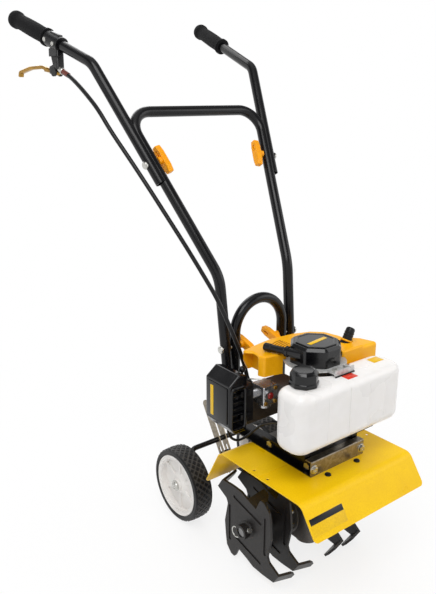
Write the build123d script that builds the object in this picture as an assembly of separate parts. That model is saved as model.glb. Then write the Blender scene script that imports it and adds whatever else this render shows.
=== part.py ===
from build123d import *
import os
from math import atan2, cos, pi, radians, sin, sqrt, tan

# Petrol garden tiller, in millimetres: +X is the machine's left, +Y its rear, +Z up, z = 0 the ground.
# The pieces are drawn about the vertical engine axis (x = 0, y = 0) and moved to the middle of the
# machine's own box when they are written.

# Driving dimensions: handle tubes
TUBE_D = 22.0
TUBE_WALL = 1.5
HANDLE_BEND_R = 45.0
LEG_BEND_R = 90.0
PIVOT = Vector(88.0, 163.0, 436.0)
LEG_FOOT_DROP = 40.0
LEG_BEND = Vector(92.0, 179.0, 582.0)
CROSSBAR_CORNER = Vector(175.0, 381.0, 893.0)
SADDLE_OFFSET = 9.0
SADDLE_LAP = 45.0
UPPER_RUN = 117.0
GRIP_RUN = Vector(43.3, 266.7, 99.7)
HANDLE_BOLT_Z = 797.0
BOLT_R = 4.0
KNOB_SPAN = 60.0
KNOB_WIDTH = 18.0
KNOB_THICK = 13.0
KNOB_STEM = 8.0
KNOB_STEM_R = 7.5
GRIP_LENGTH = 132.0
GRIP_R = 17.0
GRIP_CAP = 4.0

# Driving dimensions: throttle control
CLAMP_RUN = 129.0
CLAMP_WIDTH = 48.0
CLAMP_WALL = 5.0
CLAMP_ARM = 34.0
LEVER_DROP = Vector(-8.3, -15.8, -60.2)
LEVER_REACH = 138.0
LEVER_RISE = 11.0
LEVER_WIDTH = 11.0
LEVER_THICK = 7.0
LEVER_PIN_R = 3.0
HUB_R = 9.0
KEEPER_TILT = 22.0
CABLE_D = 8.5

# Driving dimensions: frame
HOOP_HALF = 64.0
HOOP_TOP_Z = 527.0
RAIL_OUT = 72.4
RAIL_WIDTH = 15.0
RAIL_HEIGHT = 28.7
RAIL_WALL = 2.5
RAIL_FRONT_Y = -69.0
RAIL_REAR_Y = 178.0
RAIL_BOLT_Y = 52.0
RAIL_BOLT_RISE = 11.7
SHIELD_TOP_Z = 249.3
SHIELD_HALF = 150.0
SHIELD_THICK = 2.0
SHIELD_FRONT_Y = -124.6
SHIELD_REAR_Y = 103.3
SHIELD_FRONT_LIP = (-162.3, 193.7)
SHIELD_REAR_LIP = (150.6, 159.7)
SHIELD_BEND_R = 18.0
SHIELD_HOLES = ((138.0, 12.0), (138.0, -26.0))
SHIELD_HOLE_R = 3.2
SHIELD_SCREWS = ((40.0, -84.0),)
FRONT_PLATE_THICK = 2.5
FRONT_PLATE_LIP = 15.0

# Driving dimensions: tines and gearbox
TINE_SHAFT_Y = 46.0
TINE_SHAFT_R = 10.0
TINE_SHAFT_Z = 93.0
TINE_OUTLINE = (
    (95.0, 52.0), (80.5, 74.3), (48.0, 76.5), (20.0, 76.0), (1.0, 69.0), (-26.0, 61.0), (-38.0, 88.0),
    (-50.0, 86.0), (-64.0, 72.0), (-68.0, 46.0), (-71.0, 17.0), (-61.5, -28.0), (-66.0, -38.0),
)
TINE_DROP = 9.0
TINE_LEFT_TURN = 10.0
TINE_THICK = 5.0
TINE_BLADE = 42.0
TINE_OUT_X = 125.0
TINE_IN_X = 72.0
TINE_RIB = 7.0
TINE_RIB_DEEP = 2.0
TINE_GROOVES = (((40.0, 54.0), (-40.0, 36.0)), ((54.0, -52.0), (54.0, 26.0)))
SLEEVE_WALL = 5.0
SLEEVE_END_X = 142.0
GEARBOX_HALF = 26.0
GEARBOX_R = 46.0
NECK_R = 24.0
WORM_WHEEL_R = 34.5
WORM_WHEEL_HALF = 9.0
WORM_R = 11.0
WORM_HALF = 29.0
DRIVE_SHAFT_R = 6.0
BEARING_W = 10.0
TINE_BEARING_R = 18.0
WORM_BEARING_R = 14.0
PIN_R = 3.0

# Driving dimensions: transport wheels
WHEEL_R = 84.5
WHEEL_WIDTH = 45.0
WHEEL_OUT_X = 144.0
WHEEL_Y = 274.0
RIM_R = 66.5
HUB_BOSS_R = 14.0
WEB_THICK = 5.0
WHEEL_RIBS = 6
AXLE_R = 6.0
AXLE_BAR_Z = 148.0
AXLE_CRANK_X = 86.0
AXLE_BEND_R = 12.0
STRUT_LOW = (262.0, 100.0)
STRUT_TOP = (342.0, 230.5)
STRUT_GAP = 16.0
STRUT_WALL = 3.0
STRUT_WIDE = 20.0
STRUT_TRAVEL_UP = 40.0
STRUT_TRAVEL_DOWN = 20.0

# Driving dimensions: engine
BASE_HALF_Y = 62.0
CLUTCH_R = 48.0
CLUTCH_TOP_Z = 322.0
DRUM_R = 38.0
DRUM_WALL = 4.0
DRUM_FLOOR_Z = 262.0
DRUM_TALL = 38.0
FAN_R = 62.0
FAN_TOP_Z = 366.0
FLYWHEEL_R = 52.0
CRANK_R = 8.0
CRANKCASE_R = 40.0
CRANKCASE_TOP_Z = 441.0
CYLINDER_Y = 8.0
CYLINDER_Z = 408.0
CYLINDER_END_X = 112.0
FIN_R = 30.0
FIN_COUNT = 9
FIN_THICK = 2.6
DECK_THICK = 2.5
DECK_R = 60.0
TONGUE_X = 3.0
TONGUE_HALF = 25.0
TONGUE_FRONT_Y = -73.0
TONGUE_RISE = 5.0
RECOIL_R = 51.0
RECOIL_TOP_Z = 481.0
PULLEY_R = 36.0
ROPE_OFFSET = 39.5
ROPE_R = 1.5
ROPE_PULL = 45.0
STARTER_GRIP = 46.0
SHROUD_TOP_Z = 455.0
SHROUD_LOW_Z = 414.0
SHROUD_WALL = 2.5
WING_TOP_Z = 452.0
BOOT_BASE = Vector(95.0, 10.0, 449.0)
BOOT_LENGTH = 36.0
BOOT_R = 9.5

# Driving dimensions: fuel, air and carburettor
TANK_HALF = 140.0
TANK_FRONT_Y = -105.0
TANK_REAR_Y = -31.0
TANK_LOW_Z = 320.0
TANK_TOP_Z = 436.0
TANK_WALL = 2.5
TANK_ROUND = 30.0
TANK_LOW_ROUND = 20.0
TANK_TOP_ROUND = 16.0
TANK_SEAM_X = -13.0
TANK_CLEAR = 3.0
NECK_AT = (-(TANK_HALF - 53.0), -58.0)
FILLER_R = 19.0
FILLER_TALL = 15.0
CAP_R = 28.0
CAP_TOP_Z = 466.0
CARB_X = -55.0
CARB_LONG = 34.0
CARB_Y = 62.0
CARB_Z = 372.0
FILTER_OUT_X = -162.0
FILTER_IN_X = -100.0
FILTER_FRONT_Y = 58.0
FILTER_REAR_Y = 132.0
FILTER_LOW_Z = 307.0
FILTER_TOP_Z = 427.0
FILTER_BASE_DEEP = 21.0
FILTER_BASE_LOW_Z = 318.0
FILTER_BASE_TOP_Z = 398.0
FILTER_NECK_R = 11.0
CHOKE_AT = Vector(-107.0, 88.0, 421.0)
CHOKE_R = 6.5
HOSE_R = 2.6

# Named clearances
RUN_FIT = 0.05
PLAY = 0.3
SEAT = 0.1

# Places worked out from the sizes above
TUBE_R = TUBE_D / 2
RAIL_TOP_Z = SHIELD_TOP_Z + RAIL_HEIGHT
RAIL_IN_X = RAIL_OUT - RAIL_WIDTH
RAIL_BOLT_Z = SHIELD_TOP_Z + RAIL_BOLT_RISE
LEG_DIR = (CROSSBAR_CORNER - LEG_BEND).normalized()
OUTWARD = (Vector(1, 0, 0) - LEG_DIR * LEG_DIR.X).normalized()
FOOT_DIR = (PIVOT - LEG_BEND).normalized()
LEG_FOOT = PIVOT + FOOT_DIR * LEG_FOOT_DROP
BOLT_SHARE = (HANDLE_BOLT_Z - LEG_BEND.Z) / (CROSSBAR_CORNER.Z - LEG_BEND.Z)
HANDLE_BOLT = LEG_BEND + (CROSSBAR_CORNER - LEG_BEND) * BOLT_SHARE
UPPER_AXIS = HANDLE_BOLT + OUTWARD * SADDLE_OFFSET
UPPER_FOOT = UPPER_AXIS - LEG_DIR * SADDLE_LAP
UPPER_BEND = CROSSBAR_CORNER + OUTWARD * SADDLE_OFFSET + LEG_DIR * UPPER_RUN
GRIP_END = UPPER_BEND + GRIP_RUN
GRIP_DIR = GRIP_RUN.normalized()
STRUT_DIR = Vector(0, STRUT_TOP[0] - STRUT_LOW[0], STRUT_TOP[1] - STRUT_LOW[1]).normalized()
AXLE_BAR_Y = STRUT_LOW[0] + (AXLE_BAR_Z - STRUT_LOW[1]) * STRUT_DIR.Y / STRUT_DIR.Z
HITCH_AT = Vector(0, STRUT_LOW[0], STRUT_LOW[1]) + STRUT_DIR * (STRUT_TRAVEL_DOWN - 4.0)
DECK_TOP_Z = CRANKCASE_TOP_Z + DECK_THICK
ROPE_DIR = Vector(-0.33, 0.944, 0).normalized()
ROPE_SIDE = Vector(-ROPE_DIR.Y, ROPE_DIR.X, 0)
ROPE_Z = DECK_TOP_Z + 20.5
HANDLE_H = Vector(-GRIP_DIR.X, GRIP_DIR.Y, 0).normalized()
LEVER_AXIS = HANDLE_H.cross(Vector(0, 0, 1))

STANDING = (Align.CENTER, Align.CENTER, Align.MIN)


def mirrored(v, side):
    """A left-side point or direction, turned to the right side where side is -1."""
    return Vector(v.X * side, v.Y, v.Z)


def rod(start, end, radius):
    """A round bar between two points."""
    run = end - start
    return Plane(origin=start, z_dir=run) * Cylinder(radius, run.length, align=STANDING)


def pipe(points, radii, radius, wall=0.0):
    """A round bar or tube along straight runs with tangent bends."""
    path = FilletPolyline(*points, radius=radii)
    start = Plane(origin=path @ 0, z_dir=path % 0)
    body = sweep(start * Circle(radius), path=path)
    if wall > 0.0:
        body -= sweep(start * Circle(radius - wall), path=path)
    return body


def upright(radius, low, high, x=0.0, y=0.0):
    """A vertical cylinder between two heights."""
    return Pos(x, y, low) * Cylinder(radius, high - low, align=STANDING)


def across(radius, x0, x1, y, z):
    """A cylinder along X between two places."""
    return rod(Vector(x0, y, z), Vector(x1, y, z), radius)


def block(x0, x1, y0, y1, z0, z1):
    """A box between two corners."""
    corner = (Align.MIN, Align.MIN, Align.MIN)
    return Pos(x0, y0, z0) * Box(x1 - x0, y1 - y0, z1 - z0, align=corner)


def hexagon(start, axis, flats, tall):
    """A hexagonal head or nut on a bolt's axis."""
    face = Plane(origin=start, z_dir=axis) * RegularPolygon(flats / 2, 6, major_radius=False)
    return extrude(face, tall)


def inside(part, test):
    """The edges of a part whose middles pass a test."""
    return ShapeList([edge for edge in part.edges() if test(edge.center())])


def lower_handle_points():
    """The corners of the U-shaped lower handle, from its right foot to its left foot."""
    left = [LEG_FOOT, LEG_BEND, CROSSBAR_CORNER]
    right = [mirrored(p, -1) for p in left]
    return right + left[::-1]


LOWER_RADII = [LEG_BEND_R, HANDLE_BEND_R, HANDLE_BEND_R, LEG_BEND_R]


def bolt_hole(side):
    """The bore for a handle bolt, through both tubes of one side."""
    out = mirrored(OUTWARD, side)
    at = mirrored(HANDLE_BOLT, side)
    return rod(at - out * TUBE_D, at + out * TUBE_D * 2, BOLT_R + SEAT)


def make_lower_handle():
    """U-shaped tube with a crossbar and two legs, drilled for its pivots and its handle bolts."""
    tube = pipe(lower_handle_points(), LOWER_RADII, TUBE_R, TUBE_WALL)
    for side in (-1, 1):
        tube -= bolt_hole(side)
        tube -= across(BOLT_R + SEAT, side * (PIVOT.X - TUBE_D), side * (PIVOT.X + TUBE_D), PIVOT.Y, PIVOT.Z)
    return tube


def make_upper_handle(side):
    """Bent tube that carries a grip, with a pressed saddle that laps the lower handle's leg."""
    points = [mirrored(p, side) for p in (UPPER_FOOT, UPPER_BEND, GRIP_END)]
    tube = pipe(points, [HANDLE_BEND_R], TUBE_R, TUBE_WALL)
    tube -= pipe(lower_handle_points(), LOWER_RADII, TUBE_R + PLAY)
    tube -= bolt_hole(side)
    solids = tube.solids().sort_by(SortBy.VOLUME)
    return solids[-1]


def make_grip(side):
    """Foam grip with a collar at its inner end and a rounded cap at its outer end."""
    start = mirrored(GRIP_END - GRIP_DIR * GRIP_LENGTH, side)
    axis = Plane(origin=start, x_dir=(1, 0, 0), z_dir=mirrored(GRIP_DIR, side))
    total = GRIP_LENGTH + GRIP_CAP
    collar = 7.0
    swell = 2.0
    with BuildPart() as grip:
        with BuildSketch(Plane.XZ) as section:
            with BuildLine():
                Polyline(
                    (0, 0), (GRIP_R + swell, 0), (GRIP_R + swell, collar), (GRIP_R - swell, collar + swell),
                )
                ThreePointArc(
                    (GRIP_R - swell, collar + swell),
                    (GRIP_R, total * 0.45),
                    (GRIP_R - swell / 2, total - 22.0),
                )
                Line((GRIP_R - swell / 2, total - 22.0), (GRIP_R + swell, total - 17.0))
                Line((GRIP_R + swell, total - 17.0), (GRIP_R + swell, total - 8.0))
                RadiusArc((GRIP_R + swell, total - 8.0), (GRIP_R - 6.0, total), -9.0)
                Polyline((GRIP_R - 6.0, total), (0, total), (0, 0))
            make_face()
        revolve(axis=Axis.Z)
        with BuildSketch(Plane.XY):
            Circle(TUBE_R + RUN_FIT)
        extrude(amount=GRIP_LENGTH, mode=Mode.SUBTRACT)
    return axis * grip.part


def make_knob(at, axis, along):
    """T-shaped wing nut: a stem, and a bar with sloping ends, on a bolt along an axis."""
    frame = Plane(origin=at, x_dir=along, z_dir=axis)
    stem = Cylinder(KNOB_STEM_R, KNOB_STEM, align=STANDING)
    half = KNOB_SPAN / 2
    tip = KNOB_WIDTH * 0.34
    outline = Polyline(
        (-half, -tip), (-half * 0.55, -KNOB_WIDTH / 2), (half * 0.55, -KNOB_WIDTH / 2), (half, -tip),
        (half, tip), (half * 0.55, KNOB_WIDTH / 2), (-half * 0.55, KNOB_WIDTH / 2), (-half, tip), close=True,
    )
    bar = extrude(Pos(0, 0, KNOB_STEM) * make_face(outline), KNOB_THICK)
    bar = fillet(bar.edges(), 1.8)
    bore = Cylinder(BOLT_R + SEAT, KNOB_STEM + KNOB_THICK * 0.6, align=STANDING)
    window = Pos(half * 0.45, 0, KNOB_STEM + KNOB_THICK / 2) * Box(half * 0.5, 4.0, KNOB_THICK * 2)
    return frame * (stem + bar - bore - window)


def handle_knob_place(side):
    """Where a handle bolt's knob starts, its axis and the way its bar lies."""
    inward = mirrored(OUTWARD, side) * -1
    at = mirrored(HANDLE_BOLT, side) + inward * (TUBE_R + PLAY)
    return at, inward, mirrored(LEG_DIR, side)


def pivot_knob_place(side):
    """Where a pivot bolt's knob starts, its axis and the way its bar lies."""
    inward = Vector(-side, 0, 0)
    at = Vector(side * (HOOP_HALF - TUBE_R - PLAY), PIVOT.Y, PIVOT.Z)
    return at, inward, Vector(0, 0.96, 0.28)


def carriage_bolt(head, axis, length):
    """Round-headed bolt whose shank runs along an axis from under its head."""
    dome_tall = 4.5
    dome = Plane(origin=head, z_dir=axis * -1) * Cylinder(8.0, dome_tall, align=STANDING)
    rim = dome.edges().filter_by(GeomType.CIRCLE).sort_by(lambda e: (e.center() - head).length)[-1]
    dome = fillet(rim, 3.0)
    return dome + rod(head, head + axis * length, BOLT_R)


def make_handle_bolts():
    """The two carriage bolts that hold the upper handles."""
    bolts = []
    for side in (-1, 1):
        at, inward, _ = handle_knob_place(side)
        head = mirrored(UPPER_AXIS, side) - inward * (TUBE_R + SEAT)
        reach = (at - head).length + KNOB_STEM + KNOB_THICK * 0.5
        bolts.append(carriage_bolt(head, inward, reach))
    return bolts


def make_pivot_bolts():
    """The two carriage bolts that the folding handle turns on."""
    bolts = []
    for side in (-1, 1):
        at, inward, _ = pivot_knob_place(side)
        head = Vector(side * (PIVOT.X + TUBE_R + PLAY), PIVOT.Y, PIVOT.Z)
        reach = (at - head).length + KNOB_STEM + KNOB_THICK * 0.5
        bolts.append(carriage_bolt(head, inward, reach))
    return bolts


CLAMP_AT = mirrored(UPPER_BEND + GRIP_DIR * CLAMP_RUN, -1)
HUB_AT = CLAMP_AT + LEVER_DROP
RIGHT_GRIP_DIR = mirrored(GRIP_DIR, -1)
LEVER_HALF = LEVER_WIDTH / 2
KEEPER_DIR = HANDLE_H * -cos(radians(KEEPER_TILT)) - Vector(0, 0, sin(radians(KEEPER_TILT)))
KEEPER_END = HUB_AT + KEEPER_DIR * 24.0 + Vector(0, 0, HUB_R)


def make_throttle_bracket():
    """Clamp on the right handle with an arm down to a forked lever hub and its pin."""
    low = CLAMP_AT - RIGHT_GRIP_DIR * (CLAMP_WIDTH / 2)
    high = CLAMP_AT + RIGHT_GRIP_DIR * (CLAMP_WIDTH / 2)
    ring = rod(low, high, TUBE_R + CLAMP_WALL)
    arm_path = Line(CLAMP_AT - Vector(0, 0, TUBE_R), HUB_AT)
    arm_plane = Plane(origin=arm_path @ 0, x_dir=LEVER_AXIS, z_dir=arm_path % 0)
    arm = extrude(arm_plane * RectangleRounded(LEVER_WIDTH * 1.6, CLAMP_ARM, 4.0), arm_path.length)
    fork_half = LEVER_HALF + 4.0
    fork = rod(HUB_AT - LEVER_AXIS * fork_half, HUB_AT + LEVER_AXIS * fork_half, HUB_R)
    slot_plane = Plane(origin=HUB_AT, x_dir=HANDLE_H, z_dir=LEVER_AXIS)
    slot = slot_plane * Pos(HUB_R * 2, HUB_R * 0.9, 0) * Box(HUB_R * 6, HUB_R * 5.2, LEVER_WIDTH + 2 * PLAY)
    keeper = rod(KEEPER_END, KEEPER_END - KEEPER_DIR * 18.0, CABLE_D * 0.6)
    pin = rod(HUB_AT - LEVER_AXIS * fork_half, HUB_AT + LEVER_AXIS * fork_half, LEVER_PIN_R)
    body = ring + arm + fork - slot + pin
    body += keeper - slot
    return body - rod(low - RIGHT_GRIP_DIR * TUBE_D, high + RIGHT_GRIP_DIR * TUBE_D, TUBE_R + RUN_FIT)


def make_throttle_lever():
    """Hand lever on the hub pin: a boss, a rising neck and a long finger bar with a hooked end."""
    plane = Plane(origin=HUB_AT, x_dir=HANDLE_H, z_dir=LEVER_AXIS)
    boss = rod(HUB_AT - LEVER_AXIS * LEVER_HALF, HUB_AT + LEVER_AXIS * LEVER_HALF, HUB_R - 2.0)
    path = FilletPolyline(
        (0, 0), (LEVER_REACH * 0.12, 1.0), (LEVER_REACH * 0.36, LEVER_RISE),
        (LEVER_REACH * 0.7, LEVER_RISE * 0.9), (LEVER_REACH, 2.0), (LEVER_REACH * 1.02, -7.0),
        radius=[16.0, 24.0, 60.0, 5.0],
    )
    path = plane * path
    start = Plane(origin=path @ 0, x_dir=LEVER_AXIS, z_dir=path % 0)
    bar = sweep(start * RectangleRounded(LEVER_WIDTH, LEVER_THICK, 2.0), path=path)
    neck_x = LEVER_REACH * 0.3
    cheek = Polyline((-4.0, -5.0), (-4.0, 5.0), (neck_x, LEVER_RISE), (neck_x, 2.0), close=True)
    web = extrude(plane * make_face(cheek), LEVER_HALF * 0.7, both=True)
    bore = rod(HUB_AT - LEVER_AXIS * LEVER_WIDTH, HUB_AT + LEVER_AXIS * LEVER_WIDTH, LEVER_PIN_R + SEAT)
    return boss + bar + web - bore


def corner_radii(points):
    """Bend radii as large as the runs on each side of a route's corners allow."""
    radii = []
    for before, here, after in zip(points, points[1:], points[2:]):
        first = here - before
        second = after - here
        turn = radians(first.get_angle(second))
        radii.append(0.45 * min(first.length, second.length) / tan(turn / 2))
    return radii


CABLE_SEAT = Vector(-76.0, CARB_Y + 24.0, CARB_Z + 8.0)
CABLE_ROUTE = [
    KEEPER_END + KEEPER_DIR * PLAY, KEEPER_END + KEEPER_DIR * 20.0, Vector(-231.5, 470, 949),
    Vector(-231, 432, 928), Vector(-228, 390, 899), Vector(-222, 357, 861), Vector(-206, 311, 806),
    Vector(-190, 269, 752),
    Vector(-174, 232, 700), Vector(-157, 197, 648), Vector(-140, 165, 595.5), Vector(-124, 144, 552),
    Vector(-112, 127, 508), Vector(-106, 120, 486), Vector(-89, 119, 448), Vector(-79, 118, 420),
    Vector(-76, 114, 402), CABLE_SEAT + Vector(0, 20.0, 0), CABLE_SEAT + Vector(0, PLAY, 0),
]


def make_throttle_cable():
    """Sheathed throttle cable from the lever hub to the carburettor."""
    radii = corner_radii(CABLE_ROUTE)
    print("throttle cable bend radii", [round(r) for r in radii])
    path = FilletPolyline(*CABLE_ROUTE, radius=radii)
    start = Plane(origin=path @ 0, z_dir=path % 0)
    cable = sweep(start * Circle(CABLE_D / 2), path=path)
    print("throttle cable length", round(path.length, 1), "volume ratio",
          round(cable.volume / (pi * CABLE_D ** 2 / 4 * path.length), 4))
    return cable


def make_frame_hoop():
    """Bent tube that stands on both rails and carries the folding handle."""
    bend_z = HOOP_TOP_Z - HOOP_HALF
    y = PIVOT.Y
    path = Line((-HOOP_HALF, y, RAIL_TOP_Z), (-HOOP_HALF, y, bend_z))
    path += ThreePointArc((-HOOP_HALF, y, bend_z), (0, y, HOOP_TOP_Z), (HOOP_HALF, y, bend_z))
    path += Line((HOOP_HALF, y, bend_z), (HOOP_HALF, y, RAIL_TOP_Z))
    start = Plane(origin=path @ 0, z_dir=path % 0)
    hoop = sweep(start * Circle(TUBE_R), path=path) - sweep(start * Circle(TUBE_R - TUBE_WALL), path=path)
    reach = HOOP_HALF + TUBE_D
    return hoop - across(BOLT_R + SEAT, -reach, reach, PIVOT.Y, PIVOT.Z)


def make_rail(side):
    """Pressed channel that opens outwards, with two bolt holes in its web."""
    rail = block(RAIL_IN_X, RAIL_OUT, RAIL_FRONT_Y, RAIL_REAR_Y, SHIELD_TOP_Z, RAIL_TOP_Z)
    slot_low = SHIELD_TOP_Z + RAIL_WALL
    slot_high = RAIL_TOP_Z - RAIL_WALL
    rail -= block(RAIL_IN_X + RAIL_WALL, RAIL_OUT + 1, RAIL_FRONT_Y - 1, RAIL_REAR_Y + 1, slot_low, slot_high)
    for y in (-RAIL_BOLT_Y, RAIL_BOLT_Y):
        rail -= across(BOLT_R + SEAT, RAIL_IN_X - 1, RAIL_OUT + 1, y, RAIL_BOLT_Z)
    return rail if side > 0 else mirror(rail, Plane.YZ)


def make_front_plate():
    """Galvanised cross plate in front of both rails, with a lip folded back over them."""
    front = RAIL_FRONT_Y - FRONT_PLATE_THICK
    lip_top = RAIL_TOP_Z + FRONT_PLATE_THICK
    plate = block(-RAIL_OUT, RAIL_OUT, front, RAIL_FRONT_Y, SHIELD_TOP_Z, lip_top)
    plate += block(-RAIL_OUT, RAIL_OUT, front, front + FRONT_PLATE_LIP, RAIL_TOP_Z, lip_top)
    fold = inside(plate, lambda c: abs(c.Y - front) < 0.1 and abs(c.Z - lip_top) < 0.1)
    return fillet(fold, FRONT_PLATE_THICK * 0.9)


def make_tank_cradle():
    """Black shelf on two legs that carries the tank in front of the engine."""
    shelf_low = TANK_LOW_Z - RAIL_WALL
    leg_front = RAIL_FRONT_Y + FRONT_PLATE_LIP
    leg_rear = leg_front + 20.0
    cradle = block(-RAIL_OUT, RAIL_OUT, TANK_FRONT_Y + 14.0, leg_rear, shelf_low, TANK_LOW_Z)
    for side in (-1, 1):
        x0, x1 = sorted((side * RAIL_IN_X, side * RAIL_OUT))
        cradle += block(x0, x1, leg_front, leg_rear, RAIL_TOP_Z, shelf_low)
    return cradle - upright(CLUTCH_R + 2.0, RAIL_TOP_Z, TANK_LOW_Z + 1)


def shield_path():
    """The bent line of the shield's sheet, half a thickness under its top face."""
    mid = SHIELD_TOP_Z - SHIELD_THICK / 2
    return FilletPolyline(
        (0, *SHIELD_FRONT_LIP), (0, SHIELD_FRONT_Y, mid), (0, SHIELD_REAR_Y, mid), (0, *SHIELD_REAR_LIP),
        radius=SHIELD_BEND_R,
    )


def make_tine_shield():
    """Bent sheet over the tines, with rounded corners, open side holes, screw holes and a hole for the neck."""
    path = shield_path()
    start = Plane(origin=path @ 0, x_dir=(1, 0, 0), z_dir=path % 0)
    sheet = sweep(start * Rectangle(2 * SHIELD_HALF, SHIELD_THICK), path=path)
    low = min(SHIELD_FRONT_LIP[1], SHIELD_REAR_LIP[1]) - SHIELD_THICK
    short = [e for e in sheet.edges() if abs(e.length - SHIELD_THICK) < 0.02]
    corners = [e for e in short if abs(abs(e.center().X) - SHIELD_HALF) < 0.1]
    ends = [e for e in corners if e.center().Z < SHIELD_FRONT_LIP[1] + 1.0]
    sheet = fillet(ends, 9.0)
    sheet -= upright(NECK_R + SHIELD_THICK, low, SHIELD_TOP_Z + 1)
    for x, y in SHIELD_SCREWS:
        for side in (-1, 1):
            sheet -= upright(2.5 + SEAT, SHIELD_TOP_Z - 10, SHIELD_TOP_Z + 1, side * x, y)
    for x, y in SHIELD_HOLES:
        for side in (-1, 1):
            sheet -= upright(SHIELD_HOLE_R, SHIELD_TOP_Z - 10, SHIELD_TOP_Z + 1, side * x, y)
    return sheet


def make_frame_bolts():
    """Rail bolts into the engine base, hitch bolt, pivot bolts and shield screws with their nuts."""
    bolts = make_pivot_bolts()
    for side in (-1, 1):
        for y in (-RAIL_BOLT_Y, RAIL_BOLT_Y):
            under = Vector(side * (RAIL_IN_X + RAIL_WALL + SEAT), y, RAIL_BOLT_Z)
            out = Vector(side, 0, 0)
            bolts.append(hexagon(under, out, 13.0, 5.5) + rod(under - out * 22.0, under, BOLT_R))
        for x, y in SHIELD_SCREWS:
            at = Vector(side * x, y, SHIELD_TOP_Z)
            screw = upright(5.0, at.Z, at.Z + 2.6, at.X, at.Y)
            screw += upright(2.5, at.Z - SHIELD_THICK - 6, at.Z + 1, at.X, at.Y)
            nut = hexagon(Vector(at.X, at.Y, at.Z - SHIELD_THICK - SEAT), Vector(0, 0, -1), 8.0, 4.0)
            bolts.append(screw + nut)
    half = STRUT_GAP / 2 + STRUT_WALL + PLAY
    hitch = rod(HITCH_AT - Vector(half, 0, 0), HITCH_AT + Vector(half, 0, 0), BOLT_R)
    hitch += hexagon(HITCH_AT + Vector(half, 0, 0), Vector(1, 0, 0), 13.0, 5.5)
    hitch += hexagon(HITCH_AT - Vector(half, 0, 0), Vector(-1, 0, 0), 13.0, 6.5)
    bolts.append(hitch)
    return bolts


def make_rear_hitch():
    """Arm from the gearbox's back to the wheel strut, drilled for the hitch bolt."""
    half = STRUT_GAP / 2 - PLAY
    rear = HITCH_AT.Y + 11.0
    arm = block(-half, half, TINE_SHAFT_Y + GEARBOX_R * 0.8, rear, HITCH_AT.Z - 11.0, HITCH_AT.Z + 11.0)
    arm = fillet(inside(arm, lambda c: abs(c.Y - rear) < 0.1 and abs(c.X) < 0.1), 10.0)
    arm -= across(GEARBOX_R + SEAT, -half - 1, half + 1, TINE_SHAFT_Y, TINE_SHAFT_Z)
    return arm - across(BOLT_R + SEAT, -half - 1, half + 1, HITCH_AT.Y, HITCH_AT.Z)


WORM_LOW_Z = TINE_SHAFT_Z - WORM_HALF
WORM_TOP_Z = TINE_SHAFT_Z + WORM_HALF


def make_gearbox():
    """Both halves of the gearbox: a round wheel chest and a neck up to the clutch housing."""
    chest = across(GEARBOX_R, -GEARBOX_HALF, GEARBOX_HALF, TINE_SHAFT_Y, TINE_SHAFT_Z)
    chest = fillet(chest.edges().filter_by(GeomType.CIRCLE), 7.0)
    floor_z = WORM_LOW_Z - BEARING_W - 6.0
    neck = upright(NECK_R, floor_z, SHIELD_TOP_Z)
    neck += block(-NECK_R, NECK_R, 0, TINE_SHAFT_Y, floor_z + 2, WORM_TOP_Z + BEARING_W + 4)
    body = chest + neck
    body -= across(WORM_WHEEL_R + 2.5, -WORM_WHEEL_HALF - 2, WORM_WHEEL_HALF + 2, TINE_SHAFT_Y, TINE_SHAFT_Z)
    body -= upright(WORM_R + 2, WORM_LOW_Z, WORM_TOP_Z)
    body -= upright(WORM_BEARING_R + RUN_FIT, WORM_TOP_Z - 0.01, WORM_TOP_Z + BEARING_W)
    body -= upright(WORM_BEARING_R + RUN_FIT, WORM_LOW_Z - BEARING_W, WORM_LOW_Z + 0.01)
    body -= upright(DRIVE_SHAFT_R + PLAY, WORM_LOW_Z - BEARING_W, SHIELD_TOP_Z + 1)
    seat_in = WORM_WHEEL_HALF + 2
    for side in (-1, 1):
        body -= across(
            TINE_BEARING_R + RUN_FIT, side * (seat_in - 0.01), side * (seat_in + BEARING_W),
            TINE_SHAFT_Y, TINE_SHAFT_Z,
        )
    body -= across(TINE_SHAFT_R + PLAY, -GEARBOX_HALF - 1, GEARBOX_HALF + 1, TINE_SHAFT_Y, TINE_SHAFT_Z)
    high = SHIELD_TOP_Z + 1
    right = body - block(0, NECK_R + GEARBOX_HALF, -GEARBOX_R * 2, GEARBOX_R * 3, floor_z - GEARBOX_R, high)
    left = body - block(-NECK_R - GEARBOX_HALF, 0, -GEARBOX_R * 2, GEARBOX_R * 3, floor_z - GEARBOX_R, high)
    return right, left


def ring(outer, bore):
    """A washer-shaped face, for bearings."""
    return Circle(outer) - Circle(bore)


def make_gearbox_bearings():
    """Two bearings on the tine shaft and two on the drive shaft."""
    rings = []
    seat_in = WORM_WHEEL_HALF + 2
    for side in (-1, 1):
        plane = Plane(origin=(side * seat_in, TINE_SHAFT_Y, TINE_SHAFT_Z), z_dir=(side, 0, 0))
        rings.append(extrude(plane * ring(TINE_BEARING_R, TINE_SHAFT_R + RUN_FIT), BEARING_W))
    for low in (WORM_LOW_Z - BEARING_W, WORM_TOP_Z):
        plane = Plane(origin=(0, 0, low), z_dir=(0, 0, 1))
        rings.append(extrude(plane * ring(WORM_BEARING_R, DRIVE_SHAFT_R + RUN_FIT), BEARING_W))
    return rings


def make_drive_shaft():
    """Upright shaft with the worm on its lower end."""
    shaft = upright(DRIVE_SHAFT_R, WORM_LOW_Z - BEARING_W, DRUM_FLOOR_Z + DRUM_WALL)
    return shaft + upright(WORM_R, WORM_LOW_Z + PLAY, WORM_TOP_Z - PLAY)


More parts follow.
